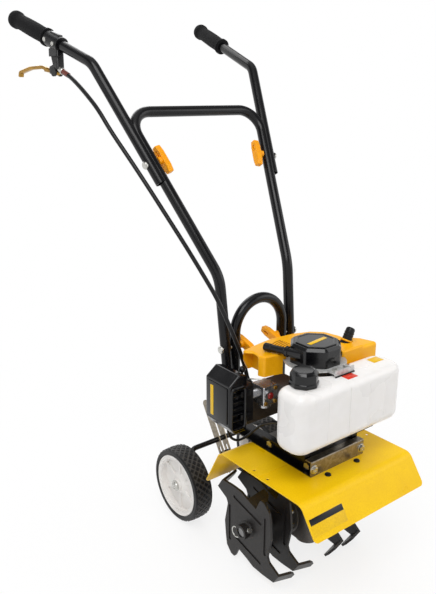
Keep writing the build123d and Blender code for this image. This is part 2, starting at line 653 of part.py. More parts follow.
def make_clutch_drum():
    """Cup on the drive shaft that the clutch shoes grip."""
    drum = upright(DRUM_R, DRUM_FLOOR_Z, DRUM_FLOOR_Z + DRUM_TALL)
    drum -= upright(DRUM_R - DRUM_WALL, DRUM_FLOOR_Z + DRUM_WALL, DRUM_FLOOR_Z + DRUM_TALL + 1)
    return drum - upright(DRIVE_SHAFT_R + RUN_FIT, DRUM_FLOOR_Z - 1, DRUM_FLOOR_Z + DRUM_WALL + 1)


ROTOR_LOW_Z = DRUM_FLOOR_Z + DRUM_WALL + 4.0
ROTOR_TOP_Z = DRUM_FLOOR_Z + DRUM_TALL - 4.0


def make_clutch_rotor():
    """Pair of clutch shoes on a hub, drawn as one rotor with a slot between the shoes."""
    rotor = upright(DRUM_R - DRUM_WALL - 1.0, ROTOR_LOW_Z, ROTOR_TOP_Z)
    gap = 3.0
    reach = DRUM_R
    for side in (-1, 1):
        x0, x1 = sorted((side * CRANK_R * 1.6, side * reach))
        rotor -= block(x0, x1, -gap / 2, gap / 2, ROTOR_LOW_Z - 1, ROTOR_TOP_Z + 1)
    return rotor - upright(CRANK_R + RUN_FIT, ROTOR_LOW_Z - 1, ROTOR_TOP_Z + 1)


CRANK_CHAMBER_LOW = FAN_TOP_Z + 16.0
CRANK_CHAMBER_TOP = CRANKCASE_TOP_Z - 14.0


def make_crankshaft():
    """Engine shaft from the clutch to the starter, with a counterweight in the crankcase."""
    shaft = upright(CRANK_R, ROTOR_LOW_Z, CRANKCASE_TOP_Z + DECK_THICK)
    return shaft + upright(26.0, CRANK_CHAMBER_LOW + 6.0, CRANK_CHAMBER_TOP - 6.0)


def make_flywheel():
    """Flywheel disc with fan vanes."""
    low = CLUTCH_TOP_Z + 8.0
    wheel = upright(FLYWHEEL_R, low, low + 7.0) + upright(CRANK_R * 2, low, FAN_TOP_Z - 6.0)
    vanes = 14
    vane = block(CRANK_R * 2.5, FLYWHEEL_R - 1.0, -1.2, 1.2, low + 6.0, FAN_TOP_Z - 8.0)
    for index in range(vanes):
        wheel += Rot(0, 0, index * 360 / vanes) * vane
    return wheel - upright(CRANK_R + RUN_FIT, low - 1, FAN_TOP_Z)


def make_clutch_housing():
    """Cast base between the rails, with the round clutch chamber on top."""
    half = RAIL_IN_X - SEAT
    base = block(-half, half, -BASE_HALF_Y, BASE_HALF_Y, SHIELD_TOP_Z, RAIL_TOP_Z)
    base += upright(CLUTCH_R, SHIELD_TOP_Z, CLUTCH_TOP_Z)
    base -= upright(DRUM_R + 3.0, DRUM_FLOOR_Z - 4.0, CLUTCH_TOP_Z + 1)
    base -= upright(DRIVE_SHAFT_R + PLAY, SHIELD_TOP_Z - 1, DRUM_FLOOR_Z)
    for side in (-1, 1):
        for y in (-RAIL_BOLT_Y, RAIL_BOLT_Y):
            base -= across(BOLT_R + SEAT, side * (half - 21.0), side * (half + 1), y, RAIL_BOLT_Z)
    return base


def make_fan_housing():
    """Round housing of the cooling fan, open at the top."""
    housing = upright(FAN_R, CLUTCH_TOP_Z, FAN_TOP_Z) - upright(FAN_R - 4.0, CLUTCH_TOP_Z + 4.0, FAN_TOP_Z + 1)
    housing -= upright(CLUTCH_R - 14.0, CLUTCH_TOP_Z - 1, CLUTCH_TOP_Z + 5.0)
    return housing


CYLINDER_FOOT_X = CRANKCASE_R + 4.0
MANIFOLD_Y = CARB_Y


def make_crankcase():
    """Crankcase on the fan housing, with a cylinder foot on the left and an intake block on the right."""
    case = upright(FAN_R, FAN_TOP_Z, FAN_TOP_Z + 4.0) + upright(CRANKCASE_R, FAN_TOP_Z, CRANKCASE_TOP_Z)
    reach = 26.0
    case += block(
        0, CYLINDER_FOOT_X, CYLINDER_Y - reach, CYLINDER_Y + reach, CYLINDER_Z - reach, CYLINDER_Z + reach,
    )
    case += block(CARB_X, -10.0, 15.0, MANIFOLD_Y + 16.0, FAN_TOP_Z + 1.0, CARB_Z + 20.0)
    case -= upright(30.0, CRANK_CHAMBER_LOW, CRANK_CHAMBER_TOP)
    return case - upright(CRANK_R + PLAY, FAN_TOP_Z - 1, CRANKCASE_TOP_Z + 1)


BOOT_DIR = Vector(0.45, 0, 0.89).normalized()
PLUG_R = 5.0
PORT_Y = CYLINDER_Y + FIN_R + 3.0
PORT_X = CYLINDER_FOOT_X + 20.0
MUFFLER_HALF = 20.0
MUFFLER_DEEP = 26.0


def make_cylinder():
    """Finned cylinder lying to the left, with its exhaust port and the spark plug's stub."""
    body = across(24.0, CYLINDER_FOOT_X, CYLINDER_END_X, CYLINDER_Y, CYLINDER_Z)
    pitch = (CYLINDER_END_X - CYLINDER_FOOT_X - FIN_THICK) / (FIN_COUNT - 1)
    for index in range(FIN_COUNT):
        x = CYLINDER_FOOT_X + index * pitch
        body += across(FIN_R, x, x + FIN_THICK, CYLINDER_Y, CYLINDER_Z)
    body += block(PORT_X - 11, PORT_X + 11, CYLINDER_Y, PORT_Y, CYLINDER_Z - 11, CYLINDER_Z + 11)
    body += rod(BOOT_BASE - BOOT_DIR * 26.0, BOOT_BASE + BOOT_DIR * 10.0, PLUG_R)
    return body


def make_spark_plug_boot():
    """Rubber boot pushed on the spark plug, leaning to the left."""
    boot = rod(BOOT_BASE, BOOT_BASE + BOOT_DIR * BOOT_LENGTH, BOOT_R)
    top = boot.edges().filter_by(GeomType.CIRCLE).sort_by(Axis.Z)[-1]
    boot = fillet(top, 3.0)
    collar = rod(BOOT_BASE, BOOT_BASE + BOOT_DIR * 5.0, BOOT_R + 1.6)
    return boot + collar - rod(BOOT_BASE - BOOT_DIR, BOOT_BASE + BOOT_DIR * (10.0 + SEAT), PLUG_R + SEAT)


def make_muffler():
    """Muffler box behind the cylinder, with a tailpipe that points down."""
    box = block(
        PORT_X - MUFFLER_HALF, PORT_X + MUFFLER_HALF, PORT_Y, PORT_Y + MUFFLER_DEEP,
        CYLINDER_Z - 24, CYLINDER_Z + 24,
    )
    box = fillet(inside(box, lambda c: abs(c.Y - PORT_Y) > 0.1), 5.0)
    tail_y = PORT_Y + MUFFLER_DEEP / 2
    tail = upright(8.0, CYLINDER_Z - 38, CYLINDER_Z - 22, PORT_X, tail_y)
    return box + tail - upright(6.5, CYLINDER_Z - 39, CYLINDER_Z - 26, PORT_X, tail_y)


SHROUD_OUTLINE = [
    (-104.0, 98.0), (-84.0, 102.0), (-37.0, 111.0), (-13.0, 114.0), (13.0, 112.0), (46.0, 109.0), (83.0, 96.0),
    (105.0, 75.0), (112.0, 42.0), (112.0, -26.0), (50.0, -26.0), (32.0, 18.0), (-70.0, 42.0), (-88.0, 45.0),
    (-92.0, 57.0), (-87.0, 78.0),
]
MOUTH_FRONT_Y = 60.0
MOUTH_REAR_Y = 96.5
MOUTH_IN_X = -75.0
MOUTH_ROOF = 4.0
WING_OUTLINE = [(90.0, 50.0), (115.0, 42.0), (143.0, 12.0), (154.0, -26.0), (90.0, -26.0)]


def shell_of(outline, low, high, round_r, wall):
    """An open-bottomed cover over a plan outline, with a rounded top edge: its body and its hollow."""
    face = make_face(Polyline(*outline, close=True))
    body = extrude(Pos(0, 0, low) * face, high - low)
    body = fillet(body.edges().filter_by(Axis.Z), 7.0)
    body = fillet(body.faces().sort_by(Axis.Z)[-1].edges(), round_r)
    core = offset(face, -wall, kind=Kind.INTERSECTION)
    hollow = extrude(Pos(0, 0, low - 1) * core, high - low + 1 - wall)
    hollow = fillet(hollow.edges().filter_by(Axis.Z), 5.0)
    return body, hollow


def arc_rib(radius, start, end, low, high):
    """A raised rib along an arc about the engine axis, between two angles."""
    ring_face = Circle(radius + 1.5) - Circle(radius - 1.5)
    reach = radius * 2
    first = Vector(reach, 0, 0).rotate(Axis.Z, start)
    last = Vector(reach, 0, 0).rotate(Axis.Z, end)
    wedge = make_face(Polyline((0, 0), (first.X, first.Y), (last.X, last.Y), close=True))
    return extrude(Pos(0, 0, low) * (ring_face & wedge), high - low)


def make_engine_shroud():
    """Yellow cooling cover: a ribbed dome behind the starter, with a horn, and a wing over the cylinder."""
    dome, dome_hollow = shell_of(SHROUD_OUTLINE, SHROUD_LOW_Z, SHROUD_TOP_Z, 4.0, SHROUD_WALL)
    wing, wing_hollow = shell_of(WING_OUTLINE, SHROUD_LOW_Z, WING_TOP_Z, 6.0, SHROUD_WALL)
    far = -125.0
    w = SHROUD_WALL
    low = SHROUD_LOW_Z - 1.0
    roof = SHROUD_TOP_Z - MOUTH_ROOF
    mouth = block(far, MOUTH_IN_X, MOUTH_FRONT_Y, MOUTH_REAR_Y, low, roof)
    lining = block(far, MOUTH_IN_X + w, MOUTH_FRONT_Y - w, MOUTH_REAR_Y + w, low, roof + w)
    cover = dome + wing - (dome_hollow - lining) - wing_hollow - mouth
    slope = Polyline((far, roof), (-104.0, roof - 2.0), (-84.0, low), (far, low), close=True)
    slope_plane = Plane(origin=(0, MOUTH_REAR_Y + 12.0, 0), x_dir=(1, 0, 0), z_dir=(0, -1, 0))
    cover -= extrude(slope_plane * make_face(slope), MOUTH_REAR_Y + 11.0 - MOUTH_FRONT_Y)
    cover -= block(126, 170, -19, 8, low, WING_TOP_Z - 7.0)
    cover -= upright(RECOIL_R + 4.0, low, SHROUD_TOP_Z + 1)
    for index in range(6):
        cover += arc_rib(64.0 + index * 6.0, 96.0, 124.0, SHROUD_TOP_Z - 1.0, SHROUD_TOP_Z + 1.6)
    cover -= rod(BOOT_BASE - BOOT_DIR * 60.0, BOOT_BASE + BOOT_DIR * 40.0, BOOT_R + 3.0)
    cover -= upright(DECK_R + 1.0, low, DECK_TOP_Z + SEAT)
    for angle in (12.0, 75.0, 130.0):
        at = Vector(DECK_R - 2.0, 0, 0).rotate(Axis.Z, angle)
        cover += upright(3.0, DECK_TOP_Z, SHROUD_TOP_Z - 1.0, at.X, at.Y)
    return cover.solids().sort_by(SortBy.VOLUME)[-1]


def make_deck_plate():
    """Silver plate between crankcase and starter, with a tongue that holds the tank's top."""
    plate = upright(DECK_R, CRANKCASE_TOP_Z, DECK_TOP_Z)
    low_x = TONGUE_X - TONGUE_HALF
    high_x = TONGUE_X + TONGUE_HALF
    plate += block(low_x, high_x, TONGUE_FRONT_Y, 0, CRANKCASE_TOP_Z, DECK_TOP_Z)
    lip_rear = TONGUE_FRONT_Y + DECK_THICK
    plate += block(low_x, high_x, TONGUE_FRONT_Y, lip_rear, TANK_TOP_Z + SEAT, DECK_TOP_Z + TONGUE_RISE)
    return plate - upright(CRANK_R + PLAY, CRANKCASE_TOP_Z - 1, DECK_TOP_Z + 1)


def rope_point(run, up=0.0):
    """A place on the starter rope's line, so far from where it leaves the pulley."""
    return ROPE_SIDE * ROPE_OFFSET + ROPE_DIR * run + Vector(0, 0, ROPE_Z + up)


def make_recoil_cover():
    """Starter cover with a bevelled, eight-sided lid, a rope outlet and the pulley's post."""
    lid = Pos(0, 0, DECK_TOP_Z) * extrude(RegularPolygon(RECOIL_R, 8, rotation=22.5), RECOIL_TOP_Z - DECK_TOP_Z)
    lid = fillet(lid.edges().filter_by(Axis.Z), 12.0)
    lid = chamfer(lid.faces().sort_by(Axis.Z)[-1].edges(), 5.0)
    outlet = rod(rope_point(8.0), rope_point(42.0), 9.0)
    outlet += rod(rope_point(36.0), rope_point(42.0), 10.5)
    cover = lid + outlet
    roof = RECOIL_TOP_Z - 7.0
    cover -= upright(RECOIL_R - 5.0, DECK_TOP_Z - 1, roof)
    cover += upright(6.0, DECK_TOP_Z + 3.0, roof + 1)
    return cover - rod(rope_point(-20.0), rope_point(50.0), ROPE_R + 0.6)


def make_starter_pulley():
    """Rope pulley on the cover's post."""
    low = DECK_TOP_Z + 5.0
    high = RECOIL_TOP_Z - 10.0
    pulley = upright(PULLEY_R, low, high)
    groove = upright(PULLEY_R + 1, ROPE_Z - 3.0, ROPE_Z + 3.0)
    groove -= upright(PULLEY_R - 5.0, ROPE_Z - 3.0, ROPE_Z + 3.0)
    return pulley - groove - upright(6.0 + SEAT, low - 1, high + 1)


def make_starter_handle():
    """Barrel grip on the starter rope's end, with the rope that it draws out."""
    grip = rod(rope_point(43.0), rope_point(43.0 + STARTER_GRIP), 7.0)
    grip = fillet(grip.edges().filter_by(GeomType.CIRCLE), 2.5)
    swell = rod(rope_point(43.0 + STARTER_GRIP * 0.62), rope_point(43.0 + STARTER_GRIP), 8.0)
    swell = fillet(swell.edges().filter_by(GeomType.CIRCLE), 3.0)
    return grip + swell + rod(rope_point(-4.0), rope_point(44.0), ROPE_R)


TANK_MID_Y = (TANK_FRONT_Y + TANK_REAR_Y) / 2


def tank_box(inset):
    """The tank's rounded box, drawn in by an inset."""
    body = block(
        -TANK_HALF + inset, TANK_HALF - inset, TANK_FRONT_Y + inset, TANK_REAR_Y - inset,
        TANK_LOW_Z + inset, TANK_TOP_Z - inset,
    )
    body = fillet(body.edges().filter_by(Axis.Z), TANK_ROUND - inset)
    body = fillet(body.faces().sort_by(Axis.Z)[0].edges(), TANK_LOW_ROUND - inset)
    body = fillet(body.faces().sort_by(Axis.Z)[-1].edges(), TANK_TOP_ROUND - inset)
    return body - upright(FAN_R + TANK_CLEAR + inset, TANK_LOW_Z - 1, TANK_TOP_Z + 1)


def make_fuel_tank():
    """Both halves of the moulded tank, which meet at an upright seam; the right one has the filler neck."""
    x, y = NECK_AT
    filler = upright(FILLER_R, TANK_TOP_Z - 6.0, TANK_TOP_Z + FILLER_TALL, x, y)
    tank = tank_box(0.0) + filler - tank_box(TANK_WALL)
    tank -= upright(FILLER_R - 3.0, TANK_TOP_Z - 8.0, TANK_TOP_Z + FILLER_TALL + 1, x, y)
    low = TANK_LOW_Z - 1
    high = TANK_TOP_Z + FILLER_TALL + 1
    right = tank - block(TANK_SEAM_X, TANK_HALF + 1, TANK_FRONT_Y - 1, TANK_REAR_Y + 1, low, high)
    left = tank - block(-TANK_HALF - 1, TANK_SEAM_X, TANK_FRONT_Y - 1, TANK_REAR_Y + 1, low, high)
    return right, left


def make_fuel_cap():
    """Eight-sided screw cap over the filler neck."""
    x, y = NECK_AT
    low = TANK_TOP_Z + 1.0
    cap = Pos(x, y, low) * extrude(RegularPolygon(CAP_R, 8, rotation=10.0), CAP_TOP_Z - low)
    cap = fillet(cap.edges().filter_by(Axis.Z), 3.0)
    cap = chamfer(cap.faces().sort_by(Axis.Z)[-1].edges(), 3.0)
    return cap - upright(FILLER_R + PLAY, low - 1, TANK_TOP_Z + FILLER_TALL + PLAY, x, y)


CARB_OUT_X = CARB_X - CARB_LONG
FILTER_NECK_Y = CARB_Y + FILTER_NECK_R + 1.0
PRIMER_AT = Vector(CARB_X - CARB_LONG * 0.6, CARB_Y - 18.0, CARB_Z + 2.0)
PRIMER_R = 7.0
PRIMER_TRAVEL = 3.0


def make_carburettor():
    """Carburettor block with a bowl, a primer seat and the neck to the air filter."""
    body = block(CARB_OUT_X, CARB_X, CARB_Y - 18, CARB_Y + 18, CARB_Z - 20, CARB_Z + 20)
    body = fillet(inside(body, lambda c: abs(c.X - CARB_X) > 0.1 and c.Y < CARB_Y + 17), 3.0)
    body += upright(13.0, CARB_Z - 28, CARB_Z - 19, CARB_X - CARB_LONG * 0.5, CARB_Y)
    body += across(FILTER_NECK_R, FILTER_IN_X, CARB_OUT_X, FILTER_NECK_Y, CARB_Z)
    body += rod(CABLE_SEAT - Vector(0, 8.0, 0), CABLE_SEAT, CABLE_D * 0.65)
    seat = rod(PRIMER_AT - Vector(0, 4.0, 0), PRIMER_AT + Vector(0, 2.0, 0), PRIMER_R + 4.0)
    body += seat
    return body - rod(PRIMER_AT - Vector(0, 5.0, 0), PRIMER_AT + Vector(0, 6.0, 0), PRIMER_R + PLAY)


def make_primer_bulb():
    """Soft primer bulb that pushes into its seat."""
    bulb = rod(PRIMER_AT + Vector(0, 6.0 - PRIMER_TRAVEL - PLAY, 0), PRIMER_AT - Vector(0, 8.0, 0), PRIMER_R)
    front = bulb.edges().filter_by(GeomType.CIRCLE).sort_by(Axis.Y)[0]
    return fillet(front, PRIMER_R * 0.8)


FILTER_SPLIT_X = FILTER_IN_X - FILTER_BASE_DEEP


def make_air_filter_base():
    """Back box of the air filter on the carburettor's neck, with the ball of its choke rod."""
    base = block(
        FILTER_SPLIT_X, FILTER_IN_X, FILTER_FRONT_Y + 4.0, FILTER_REAR_Y - 4.0,
        FILTER_BASE_LOW_Z, FILTER_BASE_TOP_Z,
    )
    base = fillet(base.edges().filter_by(Axis.X), 8.0)
    base -= across(FILTER_NECK_R - 3.0, FILTER_SPLIT_X - 1, FILTER_IN_X + 1, FILTER_NECK_Y, CARB_Z)
    base += upright(2.5, FILTER_BASE_TOP_Z - 1.0, CHOKE_AT.Z, CHOKE_AT.X, CHOKE_AT.Y)
    return base + Pos(*CHOKE_AT) * Sphere(CHOKE_R)


COVER_PROFILE = [
    (FILTER_SPLIT_X, FILTER_LOW_Z), (FILTER_OUT_X + 14.0, FILTER_LOW_Z), (FILTER_OUT_X, FILTER_LOW_Z + 18.0),
    (FILTER_OUT_X, FILTER_TOP_Z - 19.0), (FILTER_OUT_X + 24.0, FILTER_TOP_Z),
    (FILTER_SPLIT_X, FILTER_TOP_Z - 5.0),
]
HOLLOW_LOW_Z = FILTER_LOW_Z + 19.0
HOLLOW_TOP_Z = FILTER_TOP_Z - 22.0
POCKET_DEEP = 8.0


def make_air_filter_cover():
    """Clip-on cover of the air filter, with sloping edges and a pocket in its front end."""
    plane = Plane(origin=(0, FILTER_REAR_Y, 0), x_dir=(1, 0, 0), z_dir=(0, -1, 0))
    cover = extrude(plane * make_face(Polyline(*COVER_PROFILE, close=True)), FILTER_REAR_Y - FILTER_FRONT_Y)
    cover = fillet(inside(cover, lambda c: c.X < FILTER_SPLIT_X - 1.0), 3.5)
    pocket = block(
        FILTER_OUT_X + 8.0, FILTER_SPLIT_X - 6.0, FILTER_FRONT_Y - 1, FILTER_FRONT_Y + POCKET_DEEP,
        FILTER_LOW_Z + 13.0, FILTER_TOP_Z - 31.0,
    )
    cover -= fillet(pocket.edges().filter_by(Axis.Y), 4.0)
    return cover - block(
        FILTER_OUT_X + 5.0, FILTER_SPLIT_X + 1, FILTER_FRONT_Y + POCKET_DEEP + 3.0, FILTER_REAR_Y - 4.0,
        HOLLOW_LOW_Z, HOLLOW_TOP_Z,
    )


def make_air_filter_element():
    """Foam element inside the cover."""
    return block(
        FILTER_OUT_X + 12.0, FILTER_SPLIT_X, FILTER_FRONT_Y + POCKET_DEEP + 6.0, FILTER_REAR_Y - 7.0,
        HOLLOW_LOW_Z + 4.0, HOLLOW_TOP_Z - 7.0,
    )


FUEL_ROUTE = [
    Vector(-92, TANK_REAR_Y + PLAY, 344), Vector(-92, TANK_REAR_Y + 20, 344), Vector(-89, 10, 335),
    Vector(-84, 34, 322), Vector(-80, 57, 308), Vector(-83, 75, 290), Vector(-93, 88, 272),
    Vector(-108, 99, 262), Vector(-122, 106, 272), Vector(-127, 107, 290),
    Vector(-127, 107, FILTER_LOW_Z - PLAY),
]


def make_fuel_line():
    """Fuel hose from the tank's back, in a low loop under the air filter."""
    radii = corner_radii(FUEL_ROUTE)
    print("fuel line bend radii", [round(r) for r in radii])
    path = FilletPolyline(*FUEL_ROUTE, radius=radii)
    start = Plane(origin=path @ 0, z_dir=path % 0)
    hose = sweep(start * Circle(HOSE_R), path=path)
    print("fuel line length", round(path.length, 1), "volume ratio",
          round(hose.volume / (pi * HOSE_R ** 2 * path.length), 4))
    return hose


TINE_POINTS = list(TINE_OUTLINE) + [(-u, -v) for u, v in TINE_OUTLINE]
TINE_FOLDS = [0, 4, 13, 17]


def tine_blade(index):
    """The digging blade that turns inwards from one edge of the tine plate, leaning outwards."""
    start = Vector(*TINE_POINTS[index])
    end = Vector(*TINE_POINTS[index + 1])
    wide = (end - start).length
    edge = (end - start).normalized()
    out = Vector(edge.Y, -edge.X, 0)
    lean = atan2(TINE_DROP, TINE_BLADE)
    run = sqrt(TINE_BLADE ** 2 + TINE_DROP ** 2)
    up = Vector(0, 0, 1)
    flat = Plane(
        origin=start, x_dir=out * sin(lean) + up * cos(lean), z_dir=up * sin(lean) - out * cos(lean),
    )
    points = [(0, 0), (run, 0), (run, wide * 0.55), (run * 0.7, wide), (0, wide)]
    if index in (TINE_FOLDS[0], TINE_FOLDS[2]):
        points = [(0, 0), (run * 0.7, 0), (run, wide * 0.45), (run, wide), (0, wide)]
    return extrude(flat * make_face(Polyline(*points, close=True)), TINE_THICK)


def tine_groove(start, end):
    """A pressed groove in the tine plate's outer face."""
    run = Vector(*end) - Vector(*start)
    middle = (Vector(*start) + Vector(*end)) * 0.5
    slot = SlotCenterToCenter(run.length, TINE_RIB)
    return extrude(Plane(origin=middle, x_dir=run, z_dir=(0, 0, 1)) * slot, TINE_RIB_DEEP)


def tine_plate(x_out, turn):
    """Right-hand tine plate with four arms, whose ends turn inwards as digging blades."""
    plate = extrude(make_face(Polyline(*TINE_POINTS, close=True)), TINE_THICK)
    folds = [Vector(*TINE_POINTS[i + step]) for i in TINE_FOLDS for step in (0, 1)]
    upright_edges = plate.edges().filter_by(Axis.Z)
    soft = []
    for edge in upright_edges:
        at = Vector(edge.center().X, edge.center().Y)
        if min((at - fold).length for fold in folds) > 1.0:
            soft.append(edge)
    plate = fillet(soft, 7.0)
    for index in TINE_FOLDS:
        plate += tine_blade(index)
    for start, end in TINE_GROOVES:
        plate -= tine_groove(start, end)
        plate -= Rot(0, 0, 180) * tine_groove(start, end)
    face = Plane(origin=(-x_out, TINE_SHAFT_Y, TINE_SHAFT_Z), x_dir=(0, 1, 0), z_dir=(1, 0, 0))
    return face * Rot(0, 0, turn) * plate


def make_tines(side):
    """One side's tine set: two plates welded to a sleeve on the tine shaft."""
    turn = TINE_LEFT_TURN if side > 0 else 0.0
    inner_end = GEARBOX_HALF + 1.0
    sleeve = across(
        TINE_SHAFT_R + RUN_FIT + SLEEVE_WALL, -inner_end, -SLEEVE_END_X, TINE_SHAFT_Y, TINE_SHAFT_Z,
    )
    tines = sleeve + tine_plate(TINE_OUT_X, turn) + tine_plate(TINE_IN_X, turn)
    tines -= across(TINE_SHAFT_R + RUN_FIT, 0, -SLEEVE_END_X - 1, TINE_SHAFT_Y, TINE_SHAFT_Z)
    tines -= tine_pin_hole(-1)
    return tines if side < 0 else mirror(tines, Plane.YZ)


PIN_X = (TINE_OUT_X + SLEEVE_END_X) / 2
PIN_REACH = TINE_SHAFT_R + SLEEVE_WALL + 5.0
PIN_DIR = Vector(0, -0.84, 0.54).normalized()


def tine_pin_hole(side):
    """The cross hole for one retaining pin."""
    at = Vector(side * PIN_X, TINE_SHAFT_Y, TINE_SHAFT_Z)
    return rod(at - PIN_DIR * PIN_REACH * 1.5, at + PIN_DIR * PIN_REACH * 1.5, PIN_R + SEAT)


def make_tine_pins():
    """Two retaining pins through sleeve and shaft, each with its spring ring."""
    pins = []
    for side in (-1, 1):
        at = Vector(side * PIN_X, TINE_SHAFT_Y, TINE_SHAFT_Z)
        pin = rod(at - PIN_DIR * PIN_REACH, at + PIN_DIR * PIN_REACH, PIN_R)
        pin += rod(at + PIN_DIR * PIN_REACH, at + PIN_DIR * (PIN_REACH + 3.0), PIN_R + 2.0)
        loop = Plane(origin=at - PIN_DIR * (PIN_REACH + 9.0), z_dir=(1, 0, 0)) * Torus(11.0, 1.3)
        pins.append(pin + loop)
    return pins


def make_tine_shaft():
    """Cross shaft that carries both tine sets."""
    end = SLEEVE_END_X - 2.0
    shaft = across(TINE_SHAFT_R, -end, end, TINE_SHAFT_Y, TINE_SHAFT_Z)
    return shaft - tine_pin_hole(1) - tine_pin_hole(-1)


def make_worm_wheel():
    """Worm wheel on the tine shaft, with shallow teeth that clear the worm."""
    teeth = 30
    tooth_deep = 3.0
    wheel = across(WORM_WHEEL_R, -WORM_WHEEL_HALF, WORM_WHEEL_HALF, TINE_SHAFT_Y, TINE_SHAFT_Z)
    centre = Pos(0, TINE_SHAFT_Y, TINE_SHAFT_Z)
    gap = Pos(0, 0, WORM_WHEEL_R) * Box(2 * WORM_WHEEL_HALF + 2, 3.4, 2 * tooth_deep)
    cuts = [centre * Rot(index * 360 / teeth, 0, 0) * gap for index in range(teeth)]
    wheel -= cuts
    return wheel - across(TINE_SHAFT_R + RUN_FIT, -GEARBOX_HALF, GEARBOX_HALF, TINE_SHAFT_Y, TINE_SHAFT_Z)


def make_wheel_strut():
    """Two flat straps with slots, that carry the wheel axle and slide on the hitch bolt."""
    straps = []
    low = Vector(0, STRUT_LOW[0], STRUT_LOW[1]) - STRUT_DIR * (STRUT_TRAVEL_UP - 14.0)
    length = (Vector(0, STRUT_TOP[0], STRUT_TOP[1]) - low).length
    hitch_run = (HITCH_AT - low).dot(STRUT_DIR)
    bar_run = (Vector(0, AXLE_BAR_Y, AXLE_BAR_Z) - low).dot(STRUT_DIR)
    slot_low = hitch_run - STRUT_TRAVEL_UP
    slot_high = hitch_run + STRUT_TRAVEL_DOWN
    for side in (-1, 1):
        flat = Plane(origin=low + Vector(side * STRUT_GAP / 2, 0, 0), x_dir=STRUT_DIR, z_dir=(side, 0, 0))
        face = Pos(length / 2, 0) * SlotOverall(length, STRUT_WIDE)
        slot_mid = (slot_low + slot_high) / 2
        slot_long = slot_high - slot_low + 2 * (BOLT_R + PLAY)
        face -= Pos(slot_mid, 0) * SlotOverall(slot_long, 2 * (BOLT_R + PLAY))
        face -= Pos(bar_run, 0) * Circle(AXLE_R + RUN_FIT)
        straps.append(extrude(flat * face, STRUT_WALL))
    return straps


def make_wheel_axle():
    """Cranked bar through both straps, whose ends are the wheels' axles."""
    end = WHEEL_OUT_X + 4.0
    right = [
        Vector(-end, WHEEL_Y, WHEEL_R), Vector(-AXLE_CRANK_X, WHEEL_Y, WHEEL_R),
        Vector(-AXLE_CRANK_X, AXLE_BAR_Y, AXLE_BAR_Z),
    ]
    points = right + [mirrored(p, -1) for p in right[::-1]]
    return pipe(points, [AXLE_BEND_R] * 4, AXLE_R)


def make_wheel(side):
    """Moulded wheel: a rim that the tyre sits on, a dished web with low ribs, and a hub."""
    inner = WHEEL_OUT_X - WHEEL_WIDTH
    rim_in = inner + 4.0
    rim_out = WHEEL_OUT_X - 4.0
    rim = across(RIM_R, side * rim_in, side * rim_out, WHEEL_Y, WHEEL_R)
    rim -= across(RIM_R - 7.0, side * (rim_in - 1), side * (rim_out + 1), WHEEL_Y, WHEEL_R)
    hub = across(HUB_BOSS_R, side * inner, side * (WHEEL_OUT_X - 2.0), WHEEL_Y, WHEEL_R)
    web_out = rim_out - 12.0
    web = across(RIM_R - 6.0, side * (web_out - WEB_THICK), side * web_out, WHEEL_Y, WHEEL_R)
    face = Plane(origin=(side * web_out, WHEEL_Y, WHEEL_R), z_dir=(side, 0, 0))
    dish = face * Cone(HUB_BOSS_R + 14.0, HUB_BOSS_R + 3.0, 8.0, align=STANDING)
    x0, x1 = sorted((side * (web_out - 1.0), side * (web_out + 4.0)))
    rib = block(x0, x1, -4.0, 4.0, HUB_BOSS_R, RIM_R - 6.0)
    wheel = rim + hub + web + dish
    for index in range(WHEEL_RIBS):
        wheel += Pos(0, WHEEL_Y, WHEEL_R) * Rot(index * 360 / WHEEL_RIBS, 0, 0) * rib
    return wheel - across(AXLE_R + SEAT, side * (inner - 1), side * (WHEEL_OUT_X + 1), WHEEL_Y, WHEEL_R)


def make_tyre(side):
    """Solid tyre with rounded shoulders."""
    inner = WHEEL_OUT_X - WHEEL_WIDTH
    tyre = across(WHEEL_R, side * inner, side * WHEEL_OUT_X, WHEEL_Y, WHEEL_R)
    tyre = fillet(tyre.edges().filter_by(GeomType.CIRCLE), 10.0)
    tyre -= across(RIM_R + RUN_FIT, side * (inner + 4.0), side * (WHEEL_OUT_X - 4.0), WHEEL_Y, WHEEL_R)
    lip = RIM_R - 2.0
    return tyre - across(lip, side * (inner - 1), side * (WHEEL_OUT_X + 1), WHEEL_Y, WHEEL_R)


